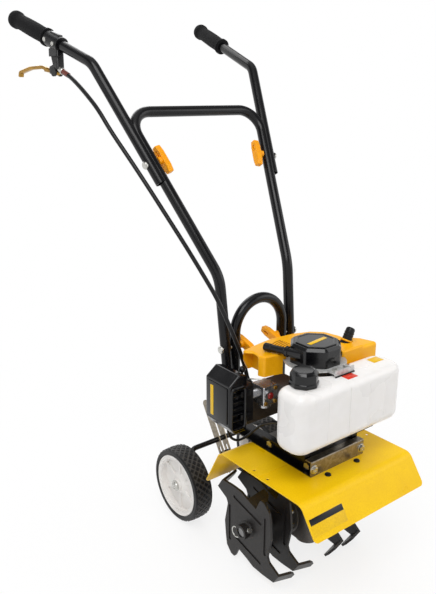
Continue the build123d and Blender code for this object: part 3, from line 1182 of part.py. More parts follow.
def make_all():
    """Every node by name, about the engine axis."""
    nodes = {
        "lower_handle": make_lower_handle(),
        "handle_bolts": make_handle_bolts(),
        "throttle_bracket": make_throttle_bracket(),
        "throttle_lever": make_throttle_lever(),
        "throttle_cable": make_throttle_cable(),
        "frame_hoop": make_frame_hoop(),
        "front_plate": make_front_plate(),
        "tank_cradle": make_tank_cradle(),
        "frame_bolts": make_frame_bolts(),
        "tine_shield": make_tine_shield(),
        "rear_hitch": make_rear_hitch(),
        "gearbox_bearings": make_gearbox_bearings(),
        "drive_shaft": make_drive_shaft(),
        "clutch_drum": make_clutch_drum(),
        "clutch_rotor": make_clutch_rotor(),
        "crankshaft": make_crankshaft(),
        "flywheel": make_flywheel(),
        "clutch_housing": make_clutch_housing(),
        "fan_housing": make_fan_housing(),
        "crankcase": make_crankcase(),
        "engine_cylinder": make_cylinder(),
        "spark_plug_boot": make_spark_plug_boot(),
        "muffler": make_muffler(),
        "engine_shroud": make_engine_shroud(),
        "deck_plate": make_deck_plate(),
        "recoil_cover": make_recoil_cover(),
        "starter_pulley": make_starter_pulley(),
        "starter_handle": make_starter_handle(),
        "fuel_cap": make_fuel_cap(),
        "fuel_line": make_fuel_line(),
        "carburettor": make_carburettor(),
        "primer_bulb": make_primer_bulb(),
        "air_filter_base": make_air_filter_base(),
        "air_filter_cover": make_air_filter_cover(),
        "air_filter_element": make_air_filter_element(),
        "tine_shaft": make_tine_shaft(),
        "worm_wheel": make_worm_wheel(),
        "tine_pins": make_tine_pins(),
        "wheel_strut": make_wheel_strut(),
        "wheel_axle": make_wheel_axle(),
    }
    nodes["gearbox_right_half"], nodes["gearbox_left_half"] = make_gearbox()
    nodes["right_tank_half"], nodes["left_tank_half"] = make_fuel_tank()
    for name, side in (("right", -1), ("left", 1)):
        nodes[name + "_upper_handle"] = make_upper_handle(side)
        nodes[name + "_grip"] = make_grip(side)
        nodes[name + "_handle_knob"] = make_knob(*handle_knob_place(side))
        nodes[name + "_pivot_knob"] = make_knob(*pivot_knob_place(side))
        nodes[name + "_rail"] = make_rail(side)
        nodes[name + "_tines"] = make_tines(side)
        nodes[name + "_wheel"] = make_wheel(side)
        nodes[name + "_tyre"] = make_tyre(side)
    return nodes


def solids_of(shape):
    """The separate solids of a node, from one shape or from a list of shapes."""
    shapes = shape if isinstance(shape, list) else [shape]
    return [solid for item in shapes for solid in item.solids()]


NODES = {name: solids_of(shape) for name, shape in make_all().items()}
WHOLE = Compound(children=[Compound(children=solids) for solids in NODES.values()])
MIDDLE_Y = WHOLE.bounding_box().center().Y
print("middle of the box from the engine axis", round(MIDDLE_Y, 3))

os.makedirs("parts", exist_ok=True)
for node_name, node_solids in NODES.items():
    placed = [Pos(0, -MIDDLE_Y, 0) * solid for solid in node_solids]
    export_step(Compound(children=placed), "parts/" + node_name + ".step")
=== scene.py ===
"""Garden tiller: finishes, cords, tyres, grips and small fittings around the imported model, in metres."""

import logging
import math
from dataclasses import dataclass
from enum import Enum
from typing import Any, Dict, List, Optional, Sequence, Tuple

import bpy
from mathutils import Matrix, Vector

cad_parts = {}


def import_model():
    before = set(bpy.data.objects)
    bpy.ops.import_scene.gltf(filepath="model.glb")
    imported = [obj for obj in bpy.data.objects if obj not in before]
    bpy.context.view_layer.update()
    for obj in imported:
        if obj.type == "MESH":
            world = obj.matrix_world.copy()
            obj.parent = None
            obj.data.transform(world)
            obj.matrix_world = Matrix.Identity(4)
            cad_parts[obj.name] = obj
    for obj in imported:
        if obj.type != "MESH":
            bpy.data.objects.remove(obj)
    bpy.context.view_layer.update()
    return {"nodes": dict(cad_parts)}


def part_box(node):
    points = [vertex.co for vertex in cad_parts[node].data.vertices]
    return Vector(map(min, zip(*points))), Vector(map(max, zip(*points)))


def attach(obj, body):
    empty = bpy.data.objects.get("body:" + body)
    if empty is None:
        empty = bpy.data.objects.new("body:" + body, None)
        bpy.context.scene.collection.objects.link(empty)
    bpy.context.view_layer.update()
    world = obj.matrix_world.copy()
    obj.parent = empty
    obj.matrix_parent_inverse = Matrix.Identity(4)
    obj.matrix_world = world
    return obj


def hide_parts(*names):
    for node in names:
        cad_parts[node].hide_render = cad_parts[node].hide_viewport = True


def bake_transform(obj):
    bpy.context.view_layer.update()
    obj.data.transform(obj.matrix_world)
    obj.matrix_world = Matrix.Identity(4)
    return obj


LOG = logging.getLogger("tiller")
MM = 0.001
MERGE_M = 0.000005
SIDES = (("right", -1), ("left", 1))
Point = Tuple[float, float, float]
Pair = Tuple[float, float]
Rings = Sequence[Pair]
Piece = bpy.types.Object
Tree = bpy.types.NodeTree
Socket = bpy.types.NodeSocket
ACROSS = Vector((1, 0, 0))
FORWARD = Vector((0, -1, 0))


def linear(code: str) -> Tuple[float, float, float, float]:
    """Turn an sRGB hex colour into linear values.

    Args:
        code: Colour such as "#F2C51A".

    Returns:
        Linear red, green and blue, and full alpha.
    """
    parts = [int(code[i:i + 2], 16) / 255 for i in (1, 3, 5)]
    values = [c / 12.92 if c <= 0.04045 else ((c + 0.055) / 1.055) ** 2.4 for c in parts]
    return values[0], values[1], values[2], 1.0


def add_node(tree: Tree, kind: str, inputs: Optional[Dict[Any, Any]] = None, **settings: Any) -> bpy.types.Node:
    """Add one shader node with its settings, values and links.

    Args:
        tree: Node tree that gets the node.
        kind: Blender's type name of the node.
        inputs: Values or output sockets by input name or index.
        settings: Properties of the node.

    Returns:
        The new node.
    """
    node = tree.nodes.new(kind)
    for name, value in settings.items():
        setattr(node, name, value)
    for socket, value in (inputs or {}).items():
        if isinstance(value, bpy.types.NodeSocket):
            tree.links.new(value, node.inputs[socket])
        else:
            node.inputs[socket].default_value = value
    return node


def bare_tree(owner: Any) -> Tree:
    """Give the emptied node tree of a material or world.

    Args:
        owner: Material or world.

    Returns:
        Its node tree.
    """
    owner.use_nodes = True
    owner.node_tree.nodes.clear()
    return owner.node_tree


class Grain(Enum):
    """How a surface was made, which gives its fine relief."""

    PAINTED = "paint film with orange peel"
    MOULDED = "spark-eroded mould texture"
    FOAM = "open foam skin"
    CAST = "sand-cast skin"
    ROLLED = "rolled and zinc-dipped sheet with spangle"
    TURNED = "turned or drawn metal with fine lines"
    BLOWN = "blow-moulded skin, smooth and faintly wavy"


class Smooth(Enum):
    """Edges sharper than this, in degrees, stay sharp."""

    CRISP = 25.0
    ROUND = 30.0
    TYRE = 32.0
    FOAM = 35.0
    TUBE = 50.0
    SOFT = 60.0

    def shade(self) -> None:
        """Shade the active object smooth except at those edges."""
        bpy.ops.object.shade_smooth_by_angle(angle=math.radians(self.value))


# How the slow patches and the fine pattern spread over colour, gloss and relief.
COLOUR_SPAN = (0.12, 0.42)
GLOSS_SPAN = (0.3, 0.7)
GLOSS_SWING = 0.07
GLOSS_LEAST = 0.03
RELIEF_SHARE = 0.3
# How far light scatters in plastics, per colour in metres.
SCATTER_M = (0.006, 0.0055, 0.005)
# Turning lines run long in this direction.
LINE_STRETCH = (1.0, 0.08, 1.0)


@dataclass(frozen=True)
class Finish:
    """One real material as the eye sees it: colour, gloss and relief.

    Orange peel, mould texture, pores and turning lines are finer than a pixel, so grain_mm draws them as coarse
    as they need to show. Spangle and the waves of a blown skin have their real size.
    """

    name: str
    colour: str
    shade: str
    grain: Grain
    roughness: float
    grain_mm: float
    relief: float
    metallic: float = 0.0
    patch_mm: float = 60.0
    subsurface: float = 0.0
    sheen: float = 0.0
    specular: float = 0.5

    def build(self) -> bpy.types.Material:
        """Make the procedural material.

        Returns:
            The material, or the one made before under the same name.
        """
        known = bpy.data.materials.get(self.name)
        if known:
            return known
        material = bpy.data.materials.new(self.name)
        tree = bare_tree(material)
        place = add_node(tree, "ShaderNodeTexCoord").outputs["Object"]
        patch = add_node(tree, "ShaderNodeTexNoise", {
            "Vector": place, "Scale": 1 / (self.patch_mm * MM), "Detail": 3.0,
        }).outputs["Fac"]
        fine = self.fine(tree, place)
        mixed = add_node(tree, "ShaderNodeMath", {0: patch, 1: fine}, operation="MULTIPLY")
        ramp = add_node(tree, "ShaderNodeMapRange", {
            "Value": mixed.outputs[0], "From Min": COLOUR_SPAN[0], "From Max": COLOUR_SPAN[1],
        })
        colour = add_node(tree, "ShaderNodeMix", {
            0: ramp.outputs[0], 6: linear(self.shade), 7: linear(self.colour),
        }, data_type="RGBA")
        rough = add_node(tree, "ShaderNodeMapRange", {
            "Value": patch, "From Min": GLOSS_SPAN[0], "From Max": GLOSS_SPAN[1],
            "To Min": max(self.roughness - GLOSS_SWING, GLOSS_LEAST),
            "To Max": min(self.roughness + GLOSS_SWING, 1.0),
        })
        bump = add_node(tree, "ShaderNodeBump", {
            "Height": fine, "Strength": self.relief, "Distance": self.grain_mm * MM * RELIEF_SHARE,
        })
        shader = add_node(tree, "ShaderNodeBsdfPrincipled", {
            "Base Color": colour.outputs[2], "Roughness": rough.outputs[0], "Normal": bump.outputs[0],
            "Metallic": self.metallic, "Specular IOR Level": self.specular, "Sheen Weight": self.sheen,
            "Subsurface Weight": self.subsurface, "Subsurface Radius": SCATTER_M, "Subsurface Scale": 1.0,
        })
        add_node(tree, "ShaderNodeOutputMaterial", {0: shader.outputs[0]})
        return material

    def fine(self, tree: Tree, place: Socket) -> Socket:
        """Add the fine pattern that the surface's making leaves.

        Args:
            tree: Node tree of the material.
            place: Object coordinates.

        Returns:
            The pattern's value socket.
        """
        scale = 1 / (self.grain_mm * MM)
        if self.grain in (Grain.ROLLED, Grain.FOAM):
            cells = add_node(tree, "ShaderNodeTexVoronoi", {"Vector": place, "Scale": scale})
            if self.grain is Grain.FOAM:
                return cells.outputs["Distance"]
            return add_node(tree, "ShaderNodeSeparateColor", {0: cells.outputs["Color"]}).outputs[0]
        detail = {Grain.TURNED: 4.0, Grain.CAST: 6.0}.get(self.grain, 2.0)
        if self.grain is Grain.TURNED:
            place = add_node(tree, "ShaderNodeMapping", {"Vector": place, "Scale": LINE_STRETCH}).outputs[0]
        noise = add_node(tree, "ShaderNodeTexNoise", {"Vector": place, "Scale": scale, "Detail": detail})
        return noise.outputs["Fac"]


# Powder-coated steel tube: deep black film, thin long highlights
TUBE_BLACK = Finish("powder_coated_tube_black", "#0E0E11", "#08080A", Grain.PAINTED,
    roughness=0.22, grain_mm=2.2, relief=0.04, specular=0.3)
# Wet-painted bent sheet: strong yellow, clear highlight along the bend
SHEET_YELLOW = Finish("wet_painted_sheet_yellow", "#F8CB0C", "#EDBC06", Grain.PAINTED,
    roughness=0.34, grain_mm=2.6, relief=0.03, specular=0.25)
# ABS moulding: warmer yellow with satin gloss
ABS_YELLOW = Finish("moulded_abs_yellow", "#FDBB12", "#F2A808", Grain.MOULDED,
    roughness=0.34, grain_mm=0.9, relief=0.05, subsurface=0.04, specular=0.3)
# The same yellow plastic, brown and dull: painted shade, laid as arcs between the shroud's top ribs
ABS_SHADE = Finish("moulded_abs_yellow_shaded", "#A9660A", "#8A4F06", Grain.MOULDED,
    roughness=0.6, grain_mm=0.9, relief=0.06, specular=0.2)
# Nylon moulding: orange yellow wing nuts
NYLON_ORANGE = Finish("moulded_nylon_orange", "#FDAE10", "#F0990A", Grain.MOULDED,
    roughness=0.38, grain_mm=0.9, relief=0.06, subsurface=0.04, specular=0.25)
# Foam sleeve: matt black with open pores, drawn coarse enough to show
FOAM_BLACK = Finish("foam_grip_black", "#161618", "#070708", Grain.FOAM,
    roughness=0.85, grain_mm=1.5, relief=0.5, sheen=0.03, specular=0.2)
# Rubber hose and boots: soft black sheen
HOSE_RUBBER = Finish("extruded_rubber_black", "#101012", "#09090A", Grain.MOULDED,
    roughness=0.36, grain_mm=1.6, relief=0.1, specular=0.3)
# Zinc-dipped sheet: dull grey, faint spangle that catches the light in patches
DIPPED_SHEET = Finish("zinc_dipped_sheet", "#9A9284", "#837A6C", Grain.ROLLED,
    roughness=0.34, grain_mm=5.0, relief=0.04, metallic=0.85)
# Zinc-plated deck plate: brushed and bright, too rough to mirror its surroundings
ZINC_SHEET = Finish("brushed_zinc_sheet", "#D2D2D1", "#BDBDBC", Grain.ROLLED,
    roughness=0.5, grain_mm=4.0, relief=0.05, metallic=0.6)
# Zinc-plated fasteners: bright, with fine lines
PLATED_STEEL = Finish("zinc_plated_steel", "#D9D8D3", "#B4B3AE", Grain.TURNED,
    roughness=0.28, grain_mm=1.2, relief=0.06, metallic=0.95)
# Passivated lever: brass-coloured, in uneven patches
LEVER_BRASS = Finish("passivated_brass", "#C49A4A", "#8A662B", Grain.TURNED,
    roughness=0.3, grain_mm=1.4, relief=0.08, metallic=0.9, patch_mm=25.0)
# Painted cast clamp: black over a rough skin
CLAMP_BLACK = Finish("painted_casting_black", "#0F0F12", "#09090B", Grain.CAST,
    roughness=0.34, grain_mm=2.0, relief=0.15, specular=0.35)
# Die-cast aluminium engine pieces: dull grey skin
CAST_ALLOY = Finish("die_cast_aluminium", "#6E6A66", "#4E4A47", Grain.CAST,
    roughness=0.5, grain_mm=1.6, relief=0.25, metallic=0.75)
# Polished carburettor body: bright, faintly pitted
CARB_ALLOY = Finish("polished_cast_alloy", "#CFCFD0", "#9A9A9C", Grain.CAST,
    roughness=0.24, grain_mm=2.2, relief=0.12, metallic=0.95)
# Turned shafts: grey with fine lines
SHAFT_STEEL = Finish("turned_steel", "#9C9C9C", "#777777", Grain.TURNED,
    roughness=0.3, grain_mm=1.0, relief=0.05, metallic=1.0)
# Bronze worm wheel: warm brown metal
BRONZE = Finish("cast_bronze", "#B08A4A", "#8A6A34", Grain.TURNED,
    roughness=0.35, grain_mm=1.2, relief=0.08, metallic=1.0)
# Dipped tine plates: dark grey satin film
TINE_GREY = Finish("dipped_tine_grey", "#2B2827", "#1A1817", Grain.PAINTED,
    roughness=0.42, grain_mm=3.0, relief=0.1, specular=0.3)
# Black nylon mouldings: satin with mould texture
NYLON_BLACK = Finish("moulded_nylon_black", "#0F0F12", "#08080A", Grain.MOULDED,
    roughness=0.32, grain_mm=1.0, relief=0.14, specular=0.35)
# Starter cover, fuel cap and filter cover: smooth gloss black
COVER_BLACK = Finish("polished_moulding_black", "#0C0C0F", "#070709", Grain.MOULDED,
    roughness=0.16, grain_mm=1.4, relief=0.04, specular=0.45)
# Blow-moulded polyethylene: milky white, light goes in and scatters
TANK_MILKY = Finish("blown_polyethylene_milky", "#F0EDEB", "#ECE9E6", Grain.BLOWN,
    roughness=0.28, grain_mm=22.0, relief=0.01, subsurface=0.2, specular=0.45)
# Polypropylene wheel: white with satin gloss
WHEEL_WHITE = Finish("moulded_polypropylene_white", "#F1EFEC", "#E4E0DC", Grain.MOULDED,
    roughness=0.36, grain_mm=1.0, relief=0.06, subsurface=0.05, patch_mm=30.0)
# Tyre rubber: matt black
TYRE_BLACK = Finish("tyre_rubber", "#131314", "#0A0A0B", Grain.MOULDED,
    roughness=0.42, grain_mm=1.4, relief=0.2, specular=0.35)
# Paler grey rubber on the tread's groove floors: painted highlight for the light that the blocks' sides catch
TYRE_PAINTED_HIGHLIGHT = Finish("tyre_rubber_painted_highlight", "#4A4745", "#343230", Grain.MOULDED,
    roughness=0.55, grain_mm=1.4, relief=0.2, specular=0.3)
# Soft primer bulb: dark red, glossy
BULB_RED = Finish("soft_pvc_red", "#8C1A16", "#5E0F0C", Grain.BLOWN,
    roughness=0.22, grain_mm=6.0, relief=0.04, subsurface=0.2)
# Filter foam: grey and dull, with open pores
FILTER_FOAM = Finish("filter_foam_grey", "#4A4A4A", "#2E2E2E", Grain.FOAM,
    roughness=0.95, grain_mm=2.0, relief=0.6)
# Muffler steel: brown and grey from the heat
MUFFLER_STEEL = Finish("heat_tinted_steel", "#6E655C", "#3F3A36", Grain.TURNED,
    roughness=0.5, grain_mm=2.0, relief=0.1, metallic=0.8)
# Film without any print, for bare stripes and patches: smooth and slightly glossy
FILM_YELLOW = Finish("printed_film_yellow", "#F0C414", "#DFB00C", Grain.PAINTED,
    roughness=0.3, grain_mm=3.0, relief=0.02, specular=0.35)
FILM_BLACK = Finish("printed_film_black", "#111114", "#0A0A0C", Grain.PAINTED,
    roughness=0.28, grain_mm=3.0, relief=0.02, specular=0.35)
FILM_RED = Finish("printed_film_red", "#E23A1C", "#CC2814", Grain.PAINTED,
    roughness=0.32, grain_mm=3.0, relief=0.02, specular=0.35)
# Heat-shrunk sleeve at the cable's end: reddish brown, soft gloss
SLEEVE_BROWN = Finish("shrink_sleeve_brown", "#7A3A2C", "#57271E", Grain.MOULDED,
    roughness=0.35, grain_mm=1.2, relief=0.08)

NODE_FINISHES: Dict[Finish, Sequence[str]] = {
    TUBE_BLACK: ("lower_handle", "right_upper_handle", "left_upper_handle", "frame_hoop", "right_rail",
                 "left_rail", "tank_cradle", "wheel_axle", "rear_hitch"),
    SHEET_YELLOW: ("tine_shield",),
    ABS_YELLOW: ("engine_shroud",),
    NYLON_ORANGE: ("right_handle_knob", "left_handle_knob", "right_pivot_knob", "left_pivot_knob"),
    FOAM_BLACK: ("right_grip", "left_grip"),
    HOSE_RUBBER: ("spark_plug_boot", "fuel_line", "throttle_cable"),
    DIPPED_SHEET: ("front_plate", "wheel_strut"),
    PLATED_STEEL: ("frame_bolts", "handle_bolts", "tine_pins"),
    ZINC_SHEET: ("deck_plate",),
    LEVER_BRASS: ("throttle_lever",),
    CLAMP_BLACK: ("throttle_bracket",),
    CAST_ALLOY: ("clutch_housing", "fan_housing", "crankcase", "engine_cylinder", "gearbox_right_half",
                 "gearbox_left_half"),
    CARB_ALLOY: ("carburettor",),
    SHAFT_STEEL: ("crankshaft", "flywheel", "clutch_rotor", "clutch_drum", "drive_shaft", "gearbox_bearings",
                  "tine_shaft"),
    BRONZE: ("worm_wheel",),
    TINE_GREY: ("right_tines", "left_tines"),
    NYLON_BLACK: ("starter_handle", "starter_pulley", "air_filter_base"),
    COVER_BLACK: ("recoil_cover", "fuel_cap", "air_filter_cover"),
    TANK_MILKY: ("right_tank_half", "left_tank_half"),
    WHEEL_WHITE: ("right_wheel", "left_wheel"),
    TYRE_BLACK: ("right_tyre", "left_tyre"),
    BULB_RED: ("primer_bulb",),
    FILTER_FOAM: ("air_filter_element",),
    MUFFLER_STEEL: ("muffler",),
}


def clear_selection() -> None:
    """Leave edit mode and deselect every object."""
    if bpy.context.object and bpy.context.object.mode != "OBJECT":
        bpy.ops.object.mode_set(mode="OBJECT")
    bpy.ops.object.select_all(action="DESELECT")


def activate(piece: Piece) -> None:
    """Make one piece the only selected and active object.

    Args:
        piece: Object to work on.
    """
    clear_selection()
    piece.select_set(True)
    bpy.context.view_layer.objects.active = piece


def paint(piece: Piece, finish: Finish) -> None:
    """Give a piece one material in place of all that it has."""
    piece.data.materials.clear()
    piece.data.materials.append(finish.build())


def dress(piece: Piece, finish: Finish, body: str = "machine") -> Piece:
    """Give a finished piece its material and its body.

    Args:
        piece: Object at the origin, with its place in its mesh.
        finish: Material to show.
        body: CAD body that the piece moves with.

    Returns:
        The piece.
    """
    paint(piece, finish)
    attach(piece, body)
    LOG.info("piece %s on %s", piece.name, body)
    return piece


def settle(piece: Piece, place: Matrix, smooth: Smooth) -> Piece:
    """Put a piece that was modelled at the origin where it belongs, and smooth it.

    Args:
        piece: Object modelled at the origin.
        place: Where it goes.
        smooth: Which edges stay sharp.

    Returns:
        The piece, unturned and unscaled at the origin.
    """
    activate(piece)
    piece.matrix_world = place
    bpy.ops.object.transform_apply(location=True, rotation=True, scale=True)
    smooth.shade()
    return piece


def turned(name: str, rings: Rings, segments: int, capped: bool = True) -> Piece:
    """Model a turned shape along Z from a circle that is extruded and resized ring by ring.

    Args:
        name: Object name.
        rings: Height and radius of each ring, in millimetres.
        segments: Points round each ring.
        capped: Close both ends.

    Returns:
        The new object, in metres at the origin.
    """
    clear_selection()
    before_z, before_r = rings[0]
    bpy.ops.mesh.primitive_circle_add(vertices=segments, radius=before_r * MM, location=(0, 0, 0))
    piece = bpy.context.object
    piece.name = name
    bpy.ops.object.mode_set(mode="EDIT")
    bpy.ops.mesh.select_mode(type="VERT")
    bpy.ops.mesh.select_all(action="SELECT")
    bpy.ops.transform.translate(value=(0, 0, before_z * MM))
    if capped:
        bpy.ops.mesh.edge_face_add()
    for z, r in rings[1:]:
        bpy.ops.mesh.extrude_region_move(TRANSFORM_OT_translate={"value": (0, 0, (z - before_z) * MM)})
        ratio = r / before_r
        bpy.ops.transform.resize(value=(ratio, ratio, 1.0), center_override=(0, 0, z * MM))
        before_z, before_r = z, r
    bpy.ops.mesh.select_all(action="SELECT")
    bpy.ops.mesh.remove_doubles(threshold=MERGE_M)
    bpy.ops.mesh.normals_make_consistent(inside=False)
    bpy.ops.object.mode_set(mode="OBJECT")
    return piece


def hex_head(name: str, flats: float, tall: float) -> Piece:
    """Model a hexagon head with chamfered corners and a shallow dish on top.

    Args:
        name: Object name.
        flats: Width across its flats in millimetres.
        tall: Height in millimetres.

    Returns:
        The new object, in metres at the origin.
    """
    r, dish = flats / math.sqrt(3), 1.6
    rings = [(0.0, r * 0.96), (0.3, r), (tall - 0.9, r), (tall, r * 0.86), (tall, dish + 0.8), (tall - 0.5, dish)]
    return turned(name, rings, segments=6)


def slab(name: str, size: Point, bevel: float, segments: int = 2) -> Piece:
    """Model a flat plate with rounded edges about the origin.

    Args:
        name: Object name.
        size: Its three sides in millimetres.
        bevel: Rounding of its edges in millimetres.
        segments: Steps of the rounding.

    Returns:
        The new object, in metres at the origin.
    """
    clear_selection()
    bpy.ops.mesh.primitive_cube_add(size=1.0, location=(0, 0, 0))
    piece = bpy.context.object
    piece.name = name
    bpy.ops.object.mode_set(mode="EDIT")
    bpy.ops.mesh.select_all(action="SELECT")
    bpy.ops.transform.resize(value=[side * MM for side in size], center_override=(0, 0, 0))
    bpy.ops.mesh.bevel(offset=bevel * MM, segments=segments, affect="EDGES")
    bpy.ops.object.mode_set(mode="OBJECT")
    return piece


def soften(piece: Piece, width: float) -> Piece:
    """Round the edges of a piece that are still sharp with an applied bevel.

    Args:
        piece: Object to change.
        width: Rounding in millimetres.

    Returns:
        The piece.
    """
    activate(piece)
    bevel = piece.modifiers.new("soft_edges", "BEVEL")
    bevel.width = width * MM
    bevel.segments = 2
    bevel.limit_method = "ANGLE"
    bevel.angle_limit = math.radians(28)
    bpy.ops.object.modifier_apply(modifier=bevel.name)
    return piece


def smooth_tube(name: str, points: Sequence[Vector], diameter: float) -> Piece:
    """Model a round tube on the smooth line that route points control.

    Args:
        name: Object name.
        points: Route in metres.
        diameter: Thickness in millimetres.

    Returns:
        The tube's mesh object at the origin.
    """
    curve = bpy.data.curves.new(name, "CURVE")
    curve.dimensions = "3D"
    spline = curve.splines.new("NURBS")
    spline.points.add(len(points) - 1)
    for point, place in zip(spline.points, points):
        point.co = (*place, 1.0)
    spline.order_u = 3
    spline.use_endpoint_u = True
    spline.resolution_u = 10
    curve.bevel_depth = diameter / 2 * MM
    curve.bevel_resolution = 5
    curve.use_fill_caps = True
    piece = bpy.data.objects.new(name, curve)
    bpy.context.collection.objects.link(piece)
    activate(piece)
    bpy.ops.object.convert(target="MESH")
    Smooth.TUBE.shade()
    return bpy.context.object


def joined(name: str, pieces: Sequence[Piece]) -> Piece:
    """Join pieces of one kind into one object.

    Args:
        name: Name of the result.
        pieces: Settled objects.

    Returns:
        The joined object.
    """
    activate(pieces[0])
    for piece in pieces:
        piece.select_set(True)
    bpy.ops.object.join()
    result = bpy.context.object
    result.name = name
    return result


def along(start: Vector, direction: Vector) -> Matrix:
    """Give the place of a piece modelled along Z that starts at a point and runs in a direction."""
    return Matrix.Translation(start) @ direction.to_track_quat("Z", "Y").to_matrix().to_4x4()


def framed(origin: Vector, x_dir: Vector, z_dir: Vector) -> Matrix:
    """Give the place whose X and Z axes lie along two directions.

    Args:
        origin: Where it is.
        x_dir: Direction near its X axis.
        z_dir: Direction of its Z axis.

    Returns:
        The place.
    """
    z_axis = z_dir.normalized()
    y_axis = z_axis.cross(x_dir).normalized()
    turn = Matrix((y_axis.cross(z_axis), y_axis, z_axis)).transposed()
    return Matrix.Translation(origin) @ turn.to_4x4()


def outward(sign: int) -> Vector:
    """Give the direction away from the machine's middle on one side."""
    return Vector((sign, 0, 0))


def turn_z(degrees: float) -> Matrix:
    """Give a turn about the upright axis."""
    return Matrix.Rotation(math.radians(degrees), 4, "Z")


@dataclass(frozen=True)
class Machine:
    """Places on the machine, from millimetres about its upright engine axis to the frame's metres."""

    axis_y: float

    @classmethod
    def found(cls) -> "Machine":
        """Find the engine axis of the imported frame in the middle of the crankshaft."""
        low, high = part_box("crankshaft")
        return cls((low.y + high.y) / 2)

    def at(self, x: float, y: float, z: float) -> Vector:
        """Turn millimetres about the engine axis into metres in the frame."""
        return Vector((x * MM, y * MM + self.axis_y, z * MM))


def seen_share(tree: Tree) -> Socket:
    """Tell rays that show a surface from rays that light one.

    Args:
        tree: Node tree of the floor or the world.

    Returns:
        Socket with 1 for straight, mirrored and refracted rays and 0 for the rest.
    """
    paths = add_node(tree, "ShaderNodeLightPath").outputs
    seen = paths["Is Camera Ray"]
    for name in ("Is Glossy Ray", "Is Transmission Ray"):
        seen = add_node(tree, "ShaderNodeMath", {0: seen, 1: paths[name]}, operation="MAXIMUM").outputs[0]
    return seen


@dataclass(frozen=True)
class Lamp:
    """One square soft lamp, in millimetres about the engine axis."""

    name: str
    place: Point
    target: Point
    side_m: float
    watts: float

    def hang(self, machine: Machine) -> None:
        """Add the lamp and point it at its target.

        Args:
            machine: Places on the machine.
        """
        clear_selection()
        place = machine.at(*self.place)
        bpy.ops.object.light_add(type="AREA", location=place)
        lamp = bpy.context.object
        lamp.name = self.name
        lamp.data.size = self.side_m
        lamp.data.energy = self.watts
        lamp.rotation_euler = (machine.at(*self.target) - place).to_track_quat("-Z", "Y").to_euler()


